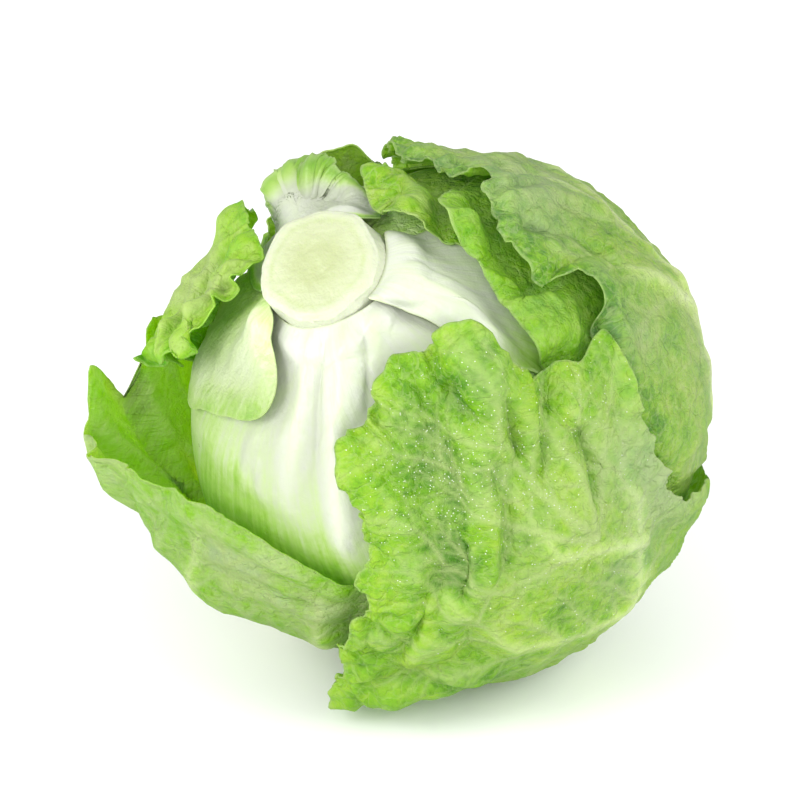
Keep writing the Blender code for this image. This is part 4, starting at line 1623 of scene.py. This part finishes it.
@dataclass
class LeafSheet:
    """The visible sheet of one leaf, with its veins, blisters, folds and torn rim."""

    index: int
    rim_thickness: float = 0.42
    rim_width: float = 0.9
    thinning: float = 7.0
    vein_height: float = 0.28
    rib_fade: float = 3.0
    joined_rib_fade: float = 9.0
    climb_from: float = 22.0
    climb_over: float = 9.0
    crumple_reach: float = 18.0
    ruffle_reach: float = 16.0
    calm_middle: float = 0.4
    chart_size: float = 200.0

    def build(self) -> bpy.types.Object:
        """Builds the leaf and puts it in its place.

        Returns:
            The leaf's object.
        """
        leaf = LEAVES[self.index]
        self.share, self.turn = round_grid(leaf.squares)
        self.reach = leaf.torn_reach(self.turn)
        self.rows = leaf.rows_at(np.radians(self.share * self.reach), self.turn)
        self.layers = Layers(self.rows)
        self.free = self.layers.free(self.index)
        self.room = 0.7 * leaf.lift(self.rows) * self.free + 0.2
        self.veins, self.gap = VeinNet(leaf).shares(self.rows)
        self.from_rim = (1.0 - self.share) * np.radians(self.reach) * HEART_RADIUS
        inner, outer, outward = self.faces_of(leaf)
        above = sum(int(other.cover(DOWNWARDS)[0] > 0.5) for other in LEAVES[self.index + 1 :])
        clearance = above * (LEAF_THICKNESS + LEAF_GAP)
        points = np.stack([seated(inner, clearance + LEAF_THICKNESS), seated(outer, clearance)])
        faces = sheet_triangles(leaf.squares, outward)
        look = leaf.finish.dress(leaf.name)
        piece = add_mesh("visible_" + leaf.name, points, faces, self.fields(leaf), self.maps(leaf), look)
        place_piece(piece, leaf.name, leaf.name)
        return piece

    def faces_of(self, leaf: Leaf) -> tuple[np.ndarray, np.ndarray, bool]:
        """The inner and the outer face as grids of points from the middle of the head.

        Args:
            leaf: The leaf.

        Returns:
            The inner points, the outer points, and whether the grid faces outwards.
        """
        radius, thickness = self.layers.sheet(self.index)
        inner = radius[..., None] * self.rows
        face = grid_triangles(leaf.squares)
        normal = grid_normals(inner, face)
        outward = float((normal * self.rows).sum()) > 0.0
        normal = normal if outward else -normal
        self.raised = np.maximum(self.relief(leaf) * self.free, -self.room)
        inner = inner + self.raised[..., None] * normal + self.ruffled(leaf, normal)
        if leaf.joined:
            down = angle_between(self.rows, STEM)
            climbed = BASE_CLIMB * smooth((self.climb_from - down) / self.climb_over)
            inner = inner + climbed[..., None] * self.rows
        normal = grid_normals(inner, face) * (1.0 if outward else -1.0)
        thin = smooth(self.from_rim / self.thinning)
        fade = self.joined_rib_fade if leaf.joined else self.rib_fade
        rib = (thickness - LEAF_THICKNESS) * smooth(self.from_rim / fade)
        body = rib + self.rim_thickness + (LEAF_THICKNESS - self.rim_thickness) * thin
        body = body + self.vein_height * self.veins * self.free * thin
        outer = inner + body[..., None] * normal
        self.thick = thickness
        return inner, outer, outward

    def relief(self, leaf: Leaf) -> np.ndarray:
        """How far blisters, creases and marks raise the leaf.

        Args:
            leaf: The leaf.

        Returns:
            The heights in mm.
        """
        height, spacing, creases, crumple = leaf.relief.value
        at = self.rows * HEART_RADIUS
        grain = Grain(leaf.seed)
        bend = np.stack([grain.at(at + shove, 1.5 * spacing) for shove in (3.0, 43.0, 83.0)], -1)
        at = at + 0.3 * spacing * bend
        self.swell = 1.0 - np.exp(-((self.gap / (0.3 * spacing)) ** 2))
        domes = 0.65 * grain.domes(at, spacing) + 0.35 * grain.domes(at + 11.0, 0.5 * spacing)
        total = height * (0.35 + 0.65 * self.swell) * domes * (0.75 + 0.5 * grain.at(at, 3.0 * spacing))
        sharp = 1.0 - np.abs(grain.at(at + 57.0, 2.0 * spacing))
        total = total + creases * (0.5 + 0.5 * grain.at(at + 31.0, 2.6 * spacing) + 0.8 * sharp**4)
        edge = smooth(1.0 - self.from_rim / self.crumple_reach) * leaf.looseness(self.turn)
        edge = edge * smooth(self.share / self.calm_middle)
        small = 1.0 - np.abs(grain.at(at + 91.0, 7.0))
        total = total + crumple * edge * (small**2 - 0.35)
        for mark in leaf.marks:
            total = total + mark.raise_at(self.rows)
        total = total - leaf.sink * smooth(leaf.lift(self.rows) / 12.0)
        # Painted shade and light from the relief: positive in hollows, negative on crests.
        self.painted_cavity_shade = np.clip((0.5 * (height + creases) - total) / (height + creases + 0.5), -0.6, 0.8)
        return total

    def ruffled(self, leaf: Leaf, normal: np.ndarray) -> np.ndarray:
        """How the rim curls up and down and leans along itself.

        Args:
            leaf: The leaf.
            normal: The leaf's unit normals.

        Returns:
            Vectors in mm.
        """
        at = self.rows * HEART_RADIUS
        grain = Grain(leaf.seed + 3)
        loose = leaf.looseness(self.turn) * self.free
        edge = np.clip(1.0 - self.from_rim / self.ruffle_reach, 0.0, 1.0) ** 1.6
        edge = edge * smooth(self.share / self.calm_middle)
        phase = leaf.ruffles * self.turn + 2.6 * grain.at(at, 22.0)
        size = leaf.ruffle * edge * loose * (0.75 + 0.45 * grain.at(at + 17.0, 26.0))
        wave = 0.45 + 0.55 * np.sin(phase) + 0.22 * np.sin(2.3 * phase + 1.0)
        along = np.cross(normal, self.rows_outward(leaf))
        return (size * wave)[..., None] * normal + (0.75 * size * np.cos(phase))[..., None] * along

    def rows_outward(self, leaf: Leaf) -> np.ndarray:
        """Unit vectors along the leaf, from its middle to its rim."""
        return unit(leaf.rows_at(np.radians(self.share * self.reach + 1.0), self.turn) - self.rows)

    def fields(self, leaf: Leaf) -> dict[str, np.ndarray]:
        """The values that the finish reads, for the inner and the outer face.

        Args:
            leaf: The leaf.

        Returns:
            Each attribute's values, by name.
        """
        start, end, first, last = leaf.greening
        down = angle_between(self.rows, STEM)
        green = first + (last - first) * smooth((down - start) / (end - start))
        green = green + patches(self.rows, leaf.tints)
        ribs = np.clip(leaf.ribs(self.rows) / 2.5, 0.0, 1.0)
        green = green + leaf.rib_tint * ribs
        green = green + leaf.rim_tint * smooth(1.0 - self.from_rim / leaf.rim_reach)
        shown = smooth(green / 0.3) * self.free
        # Between the veins the tissue is greener; the relief's hollows get painted shade and its crests
        # painted light.
        green = green + shown * (leaf.between * (self.swell - 0.5) + leaf.cavity_shade_depth * self.painted_cavity_shade)
        both = np.stack([green + leaf.inside_tint, green])
        rim = smooth(1.0 - self.from_rim / self.rim_width) * 0.5
        thin = 1.0 - 0.85 * np.clip((self.thick - LEAF_THICKNESS) / 2.0, 0.0, 1.0)
        # Pale film with painted sheen, on the outer face only.
        bloom = np.clip(patches(self.rows, leaf.bloom_and_sheen_patches), 0.0, 0.8)
        return {
            "green": np.clip(both, 0.0, 1.0),
            "vein": np.clip(np.stack([self.veins, self.veins]) * leaf.vein_share, 0.0, 1.0),
            "rim": np.stack([rim, rim]),
            "thin": np.stack([thin, thin]),
            "bloom": np.stack([0.0 * bloom, bloom]),
        }

    def maps(self, leaf: Leaf) -> dict[str, np.ndarray]:
        """The leaf laid flat, and its fan from the stem, as UV maps.

        Args:
            leaf: The leaf.

        Returns:
            Each map's pairs, by name.
        """
        chart = VeinNet(leaf).flat(self.rows) / self.chart_size + 0.5
        around = np.degrees(np.arctan2(self.rows @ AROUND_90, self.rows @ AROUND_0)) - leaf.middle[0]
        around = np.mod(around + 180.0, 360.0) / 360.0
        fan = np.stack([around, angle_between(self.rows, STEM) / 180.0], -1)
        fan = fan[..., ::-1] if leaf.lengthwise else fan
        return {"chart": np.stack([chart, chart]), "fan": np.stack([fan, fan])}


@dataclass
class Heart:
    """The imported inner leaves: a ball with wrapped leaf edges, and a pit for the stem."""

    sides: int = 200
    rings: int = 96
    fold: float = 2.0
    vein_height: float = 0.5
    edges_apart: float = 90.0
    edge_twist: float = 110.0
    finish: LeafFinish = LeafFinish(mottle=0.5, net=0.3, passes=0.0, streaks=0.4)

    def build(self) -> bpy.types.Object:
        """Builds the heart and puts it in its place.

        Returns:
            The heart's object.
        """
        around = np.linspace(0.0, 360.0, self.sides, endpoint=False)
        downs = np.linspace(PIT_ANGLE, 179.0, self.rings)
        far, angle = np.meshgrid(around, downs)
        rows = direction(far, angle)
        spots = rows * HEART_RADIUS
        spiral = far / self.edges_apart + angle / self.edge_twist
        wrapped = np.mod(spiral + 0.05 * Grain(6).at(spots, 16.0), 1.0)
        fold = self.fold * smooth((angle - PIT_ANGLE) / 30.0) * (1.0 - smooth(wrapped * 3.0))
        veins = np.exp(-((Grain(4).at(spots, 13.0) / 0.07) ** 2))
        veins = np.maximum(veins, 0.7 * np.exp(-((Grain(5).at(spots, 7.0) / 0.09) ** 2)))
        body = (heart_radius(rows) - fold - self.vein_height * (1.0 - veins))[..., None] * rows
        wall = PIT_FLOOR * direction(around, np.full(self.sides, PIT_ANGLE - 0.6))
        points = np.concatenate([(PIT_FLOOR * STEM)[None], wall, body.reshape(-1, 3)])
        points = np.concatenate([points, (heart_radius(-STEM[None])[0] * -STEM)[None]])
        points = seated(points, LEAF_THICKNESS + FLOOR_GAP)
        green = np.full(len(points), 0.35)
        tone = 0.3 + 0.22 * smooth((angle - 40.0) / 90.0) + 0.12 * wrapped
        green[1 + self.sides : -1] = tone.ravel()
        zero = np.zeros(len(points))
        lines = zero.copy()
        lines[1 + self.sides : -1] = 0.7 * veins.ravel()
        piece = add_mesh(
            "visible_heart",
            points,
            turned_triangles(self.rings + 1, self.sides),
            {"green": green, "vein": lines, "rim": zero, "thin": zero, "bloom": zero},
            {"chart": self.chart(rows), "fan": self.chart(rows)},
            self.finish.dress("heart"),
        )
        place_piece(piece, "heart", "heart")
        return piece

    def chart(self, rows: np.ndarray) -> np.ndarray:
        """A flat map of the ball from the stem outwards.

        Args:
            rows: Unit vectors.

        Returns:
            A pair of numbers for each point.
        """
        flat = np.stack([rows @ AROUND_0, rows @ AROUND_90], -1).reshape(-1, 2) * 0.37 + 0.5
        ends = np.full((1, 2), 0.5)
        return np.concatenate([ends, flat[: self.sides], flat, ends])


def turned_triangles(rings: int, sides: int) -> np.ndarray:
    """Triangles of a closed body: a point, rings of points from the stem down, and a point.

    Args:
        rings: How many rings there are.
        sides: The points of a ring.

    Returns:
        Corner numbers, one row for each triangle.
    """
    k = np.arange(sides)
    n = (k + 1) % sides
    first = np.stack([np.zeros_like(k), 1 + k, 1 + n], -1)
    last = 1 + rings * sides
    bottom = last - sides
    end = np.stack([np.full_like(k, last), bottom + n, bottom + k], -1)
    made = [first, end]
    for ring in range(rings - 1):
        a, b = 1 + ring * sides + k, 1 + ring * sides + n
        c, d = b + sides, a + sides
        made += [np.stack([a, d, c], -1), np.stack([a, c, b], -1)]
    return np.concatenate(made)


@dataclass(frozen=True)
class CutFinish:
    """The moist cut of the stem: cream at the rim, greener inside, with a brushed grain."""

    middle: Colour = paint(190, 200, 148)
    cream: Colour = paint(206, 214, 174)
    rind: Colour = paint(214, 221, 192)
    speck: Colour = paint(176, 196, 116)

    def dress(self, name: str) -> bpy.types.Material:
        """Builds the material.

        Args:
            name: The material's name.

        Returns:
            The finished material.
        """
        bench = Bench(name)
        place = bench.add("TexCoord").outputs["Object"]
        broad = bench.noise(place, 120.0, 5.0, 0.6)
        fine = bench.noise(place, 900.0, 3.0)
        uneven = bench.sum("MULTIPLY", bench.sum("SUBTRACT", broad, 0.5), 0.5)
        out = bench.sum("ADD", bench.field("out"), uneven)
        colours = (self.middle, self.middle, self.cream, self.rind)
        tissue = bench.ramp(out, tuple(zip((0.0, 0.3, 0.8, 1.0), colours)))
        tissue = bench.blend(bench.sum("MULTIPLY", bench.field("bundle"), 0.5), tissue, self.speck)
        height = bench.sum("ADD", bench.sum("MULTIPLY", broad, 1.6), fine)
        bump = bench.add("Bump", Strength=0.5, Distance=0.0005, Height=height).outputs["Normal"]
        skin = bench.add(
            "BsdfPrincipled",
            Base_Color=tissue,
            Roughness=bench.sum("ADD", bench.sum("MULTIPLY", broad, 0.3), 0.25),
            Normal=bump,
            Subsurface_Weight=0.25,
            Subsurface_Radius=(0.6, 0.9, 0.3),
            Subsurface_Scale=0.003,
        )
        return bench.finish(skin.outputs[0])


def shift(height: float) -> np.ndarray:
    """How far the stem has grown sideways at this height, as a vector in mm."""
    grown = smooth((height - STEM_ROOT - 6.0) / (STEM_TOP - STEM_ROOT - 6.0))
    return STEM_SHIFT * float(grown) * direction(STEM_SHIFT_TOWARDS, 90.0)


@dataclass
class StemPlug:
    """The cut stem: a plug with a slanting, slightly domed cut and a ragged rim."""

    sides: int = 180
    cut_rings: int = 44
    wall_rings: int = 33
    bundle_circle: float = 0.78
    flare: float = 18.2
    flare_height: float = 71.6
    grain_circle: float = 15.0

    def build(self) -> bpy.types.Object:
        """Builds the stem and puts it in its place.

        Returns:
            The stem's object.
        """
        turn = np.linspace(0.0, 2.0 * math.pi, self.sides, endpoint=False)
        out = np.multiply.outer(np.cos(turn), AROUND_0) + np.multiply.outer(np.sin(turn), AROUND_90)
        scars = 1.0 - 0.025 * np.cos(5.0 * turn) - 0.012 * np.cos(9.0 * turn + 1.0)
        towards = math.radians(STEM_SLANT_TOWARDS)
        fall = math.tan(math.radians(STEM_SLANT)) * np.cos(turn - towards)
        grain, circle = Grain(12), out * self.grain_circle
        rings, sizes = [], []
        for share in np.linspace(0.0, 1.0, self.cut_rings)[1:]:
            reach = STEM_RADIUS * scars * share
            flat = reach[:, None] * out
            top = STEM_TOP + 0.5 * (1 - share**2) - reach * fall
            top = top + 0.28 * grain.at(flat, 6.0) + 0.12 * grain.at(flat, 2.2)
            torn = np.maximum(grain.at(circle, 5.5), 0.0) + 0.5 * np.maximum(grain.at(circle, 2.1), 0.0)
            top = top - STEM_BEVEL * smooth((share - 0.9) / 0.1) * (0.7 + torn)
            rings.append(flat + top[:, None] * STEM + shift(STEM_TOP))
            sizes.append(share)
        wall = np.array(
            [
                (STEM_TOP - 1.2, STEM_RADIUS, 1.0),
                (STEM_TOP - 5.0, STEM_RADIUS + 0.6, 0.3),
                (self.flare_height, self.flare, 0.0),
                (STEM_ROOT + 6.0, 0.9 * STEM_RADIUS, 0.0),
                (STEM_ROOT, 0.8 * STEM_RADIUS, 0.0),
            ]
        )
        for step in np.linspace(0.0, len(wall) - 1.0, self.wall_rings):
            height, radius, slant = (np.interp(step, range(len(wall)), wall[:, k]) for k in range(3))
            reach = radius * (1.0 + (scars - 1.0) * slant)
            flat = reach[:, None] * out
            uneven = 1.0 + 0.012 * grain.at(circle, 2.5) + 0.008 * grain.at(circle, 1.1)
            flat = flat * uneven[:, None]
            rings.append(flat + (height - slant * reach * fall)[:, None] * STEM + shift(height))
            sizes.append(1.15)
        top = (STEM_TOP + 0.5) * STEM + shift(STEM_TOP)
        points = np.concatenate([top[None], np.concatenate(rings), (STEM_ROOT * STEM)[None]])
        sizes = np.concatenate([[0.0], np.repeat(sizes, self.sides), [1.15]])
        near = np.exp(-(((sizes - self.bundle_circle) / 0.05) ** 2))
        fields = {"out": sizes, "bundle": near * (0.5 + 0.5 * grain.at(points, 2.6))}
        faces = turned_triangles(len(rings), self.sides)
        piece = add_mesh("visible_stem", seated(points, 0.0), faces, fields, {}, CutFinish().dress("stem"))
        place_piece(piece, "stem", "stem")
        return piece


@dataclass(frozen=True)
class Water:
    """Drops of water, opaque and painted pale so that they show as glints."""

    roughness: float = 0.15

    def dress(self, name: str) -> bpy.types.Material:
        """Builds the material.

        Args:
            name: The material's name.

        Returns:
            The finished material.
        """
        bench = Bench(name)
        clear = bench.add(
            "BsdfPrincipled",
            # Painted glint: a pale opaque colour stands in for the light that clear drops catch.
            Base_Color=paint(238, 250, 214),
            Roughness=self.roughness,
            IOR=1.33,
            Specular_IOR_Level=0.8,
        )
        return bench.finish(clear.outputs[0])


class Garden:
    """Builds a Geometry Nodes tree and turns its result into a plain mesh."""

    def __init__(self, name: str, **sizes: float) -> None:
        """Starts a tree.

        Args:
            name: The tree's name.
            sizes: The value of each named input.
        """
        self.tree = bpy.data.node_groups.new(name, "GeometryNodeTree")
        face = self.tree.interface
        face.new_socket(name="Geometry", in_out="INPUT", socket_type="NodeSocketGeometry")
        face.new_socket(name="Geometry", in_out="OUTPUT", socket_type="NodeSocketGeometry")
        self.keys = {}
        for title, value in sizes.items():
            kind = "NodeSocketInt" if isinstance(value, int) else "NodeSocketFloat"
            socket = face.new_socket(name=title, in_out="INPUT", socket_type=kind)
            self.keys[socket.identifier] = value
        self.inputs = self.tree.nodes.new("NodeGroupInput")
        self.end = self.tree.nodes.new("NodeGroupOutput")

    def add(self, kind: str, links: dict[str, object], **settings: object) -> bpy.types.Node:
        """Adds a node.

        Args:
            kind: The node's type.
            links: Values or sockets by input name.
            settings: The node's own settings.

        Returns:
            The node.
        """
        node = self.tree.nodes.new(kind)
        for key, value in settings.items():
            setattr(node, key, value)
        for key, value in links.items():
            plug(self.tree, value, Bench.open_socket(node, key))
        return node

    def grow(self, name: str, ground: bpy.types.Mesh, last: bpy.types.NodeSocket) -> bpy.types.Object:
        """Runs the tree on a ground mesh.

        Args:
            name: The finished object's name.
            ground: The mesh that the tree starts from.
            last: The socket that gives the finished geometry.

        Returns:
            A plain mesh object, in the scene.
        """
        self.tree.links.new(last, self.end.inputs[0])
        holder = in_scene(name + "_ground", ground)
        live = holder.modifiers.new("grow", "NODES")
        live.node_group = self.tree
        for key, value in self.keys.items():
            live[key] = value
        depsgraph = bpy.context.evaluated_depsgraph_get()
        mesh = bpy.data.meshes.new_from_object(holder.evaluated_get(depsgraph), depsgraph=depsgraph)
        mesh.name = name
        bpy.data.objects.remove(holder)
        bpy.data.meshes.remove(ground)
        return in_scene(name, mesh)


@dataclass
class DewDrops:
    """Tiny drops of water like mist on the outer leaf's flap."""

    leaf: bpy.types.Object
    per_square_metre: float = 300000.0
    smallest: float = 0.0001
    largest: float = 0.00023
    seed: int = 11
    size_seed: int = 3
    spots: tuple[Patch, ...] = ((60, 52, 1.0, 15), (88, 60, 0.25, 18), (70, 90, 0.2, 16))

    def build(self) -> bpy.types.Object:
        """Scatters the drops and puts them in their place.

        Returns:
            The drops' object.
        """
        ground = self.leaf.data.copy()
        co = np.zeros(len(ground.vertices) * 3, dtype=np.float32)
        ground.vertices.foreach_get("co", co)
        co = co.reshape(-1, 3) / MM
        wet = np.clip(patches(unit(co - MIDDLE), self.spots), 0.0, 1.0)
        wet[: len(wet) // 2] = 0.0
        layer = ground.attributes.new("wet", "FLOAT", "POINT")
        layer.data.foreach_set("value", wet.astype(np.float32))
        sizes = {"Smallest": self.smallest, "Largest": self.largest, "Seed": self.seed}
        garden = Garden("dew", Density=self.per_square_metre, **sizes)
        given = garden.inputs.outputs
        wetness = garden.add("GeometryNodeInputNamedAttribute", {"Name": "wet"}, data_type="FLOAT")
        thick = garden.add("ShaderNodeMath", {}, operation="MULTIPLY")
        garden.tree.links.new(given["Density"], thick.inputs[0])
        garden.tree.links.new(wetness.outputs["Attribute"], thick.inputs[1])
        links = {"Mesh": given["Geometry"], "Density": thick.outputs[0], "Seed": given["Seed"]}
        points = garden.add("GeometryNodeDistributePointsOnFaces", links).outputs
        ball = garden.add("GeometryNodeMeshIcoSphere", {"Radius": 1.0, "Subdivisions": 1})
        links = {"Min": given["Smallest"], "Max": given["Largest"], "Seed": self.size_seed}
        size = garden.add("FunctionNodeRandomValue", links, data_type="FLOAT")
        links = {"Points": points["Points"], "Instance": ball.outputs["Mesh"]}
        links.update({"Rotation": points["Rotation"], "Scale": size.outputs[1]})
        drops = garden.add("GeometryNodeInstanceOnPoints", links)
        real = garden.add("GeometryNodeRealizeInstances", {"Geometry": drops.outputs[0]})
        links = {"Geometry": real.outputs[0], "Material": Water().dress("water")}
        dressed = garden.add("GeometryNodeSetMaterial", links)
        piece = garden.grow("dew_drops", ground, dressed.outputs[0])
        piece.data.shade_smooth()
        place_piece(piece, "leaf_front_outer")
        return piece


@dataclass
class Studio:
    """A pale floor, soft lights and the camera."""

    distance: float = 0.80
    lens: float = 120.0
    sensor: float = 36.0
    elevation: float = 27.0
    frame_width: float = 800.0
    ball_pixel: tuple[float, float] = (442.0, 418.0)
    floor_half: float = 4.0
    floor_tones: tuple[float, float] = (0.95, 0.97)
    world_strength: float = 0.84
    light_aim: float = 0.08

    def build(self) -> None:
        """Puts the studio up."""
        self.add_floor()
        self.add_world()
        self.add_light("key_light", (-0.95, -0.5, 0.6), 0.7, 11.0)
        self.add_light("right_light", (0.8, -0.5, 0.85), 0.7, 7.5)
        self.add_light("front_light", (0.15, -1.1, 0.5), 0.8, 4.5)
        self.add_camera()
        bpy.context.scene.view_settings.view_transform = "Standard"

    def add_floor(self) -> None:
        """A large pale table."""
        mesh = bpy.data.meshes.new("floor")
        half = self.floor_half
        corners = [(-half, -half, 0), (half, -half, 0), (half, half, 0), (-half, half, 0)]
        mesh.from_pydata(corners, [], [(0, 1, 2, 3)])
        bench = Bench("floor")
        cloud = bench.noise(bench.add("TexCoord").outputs["Object"], 3.0, 2.0)
        tone = bench.ramp(cloud, tuple((k, (v, v, v, 1.0)) for k, v in enumerate(self.floor_tones)))
        skin = bench.add("BsdfPrincipled", Base_Color=tone, Roughness=0.6)
        mesh.materials.append(bench.finish(skin.outputs[0]))
        floor = in_scene("floor", mesh)

    def add_world(self) -> None:
        """White light from everywhere."""
        world = bpy.data.worlds.new("studio")
        world.use_nodes = True
        background = world.node_tree.nodes["Background"]
        background.inputs["Color"].default_value = (1.0, 1.0, 1.0, 1.0)
        background.inputs["Strength"].default_value = self.world_strength
        bpy.context.scene.world = world

    def add_light(self, name: str, place: tuple[float, float, float], size: float, power: float) -> None:
        """A square soft light that faces the head.

        Args:
            name: Its name.
            place: Its place in metres.
            size: Its side in metres.
            power: Its power in watts.
        """
        lamp = bpy.data.lights.new(name, "AREA")
        lamp.shape, lamp.size, lamp.energy = "SQUARE", size, power
        made = in_scene(name, lamp)
        made.location = place
        made.rotation_mode = "QUATERNION"
        aim = Vector((0, 0, self.light_aim)) - Vector(place)
        made.rotation_quaternion = aim.to_track_quat("-Z", "Y")

    def add_camera(self) -> None:
        """The camera at the photograph's angle."""
        lift = math.radians(self.elevation)
        back = Vector((0.0, -math.cos(lift), math.sin(lift)))
        up = Vector((0.0, math.sin(lift), math.cos(lift)))
        right = Vector((1.0, 0.0, 0.0))
        pixel = self.distance / (self.lens / self.sensor * self.frame_width)
        centre = self.frame_width / 2
        camera = in_scene("camera", bpy.data.cameras.new("camera"))
        camera.data.lens = self.lens
        camera.location = (
            Vector(MIDDLE * MM)
            + back * self.distance
            - right * ((self.ball_pixel[0] - centre) * pixel)
            - up * ((centre - self.ball_pixel[1]) * pixel)
        )
        camera.rotation_mode = "QUATERNION"
        camera.rotation_quaternion = Matrix((right, up, back)).transposed().to_quaternion()
        bpy.context.scene.camera = camera


def main() -> None:
    """Builds every piece in order."""
    logging.basicConfig(level=logging.INFO)
    Studio().build()
    StemPlug().build()
    Heart().build()
    for index in range(len(LEAVES)):
        sheet = LeafSheet(index).build()
    DewDrops(sheet).build()
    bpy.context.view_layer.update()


if __name__ == "__main__":
    main()
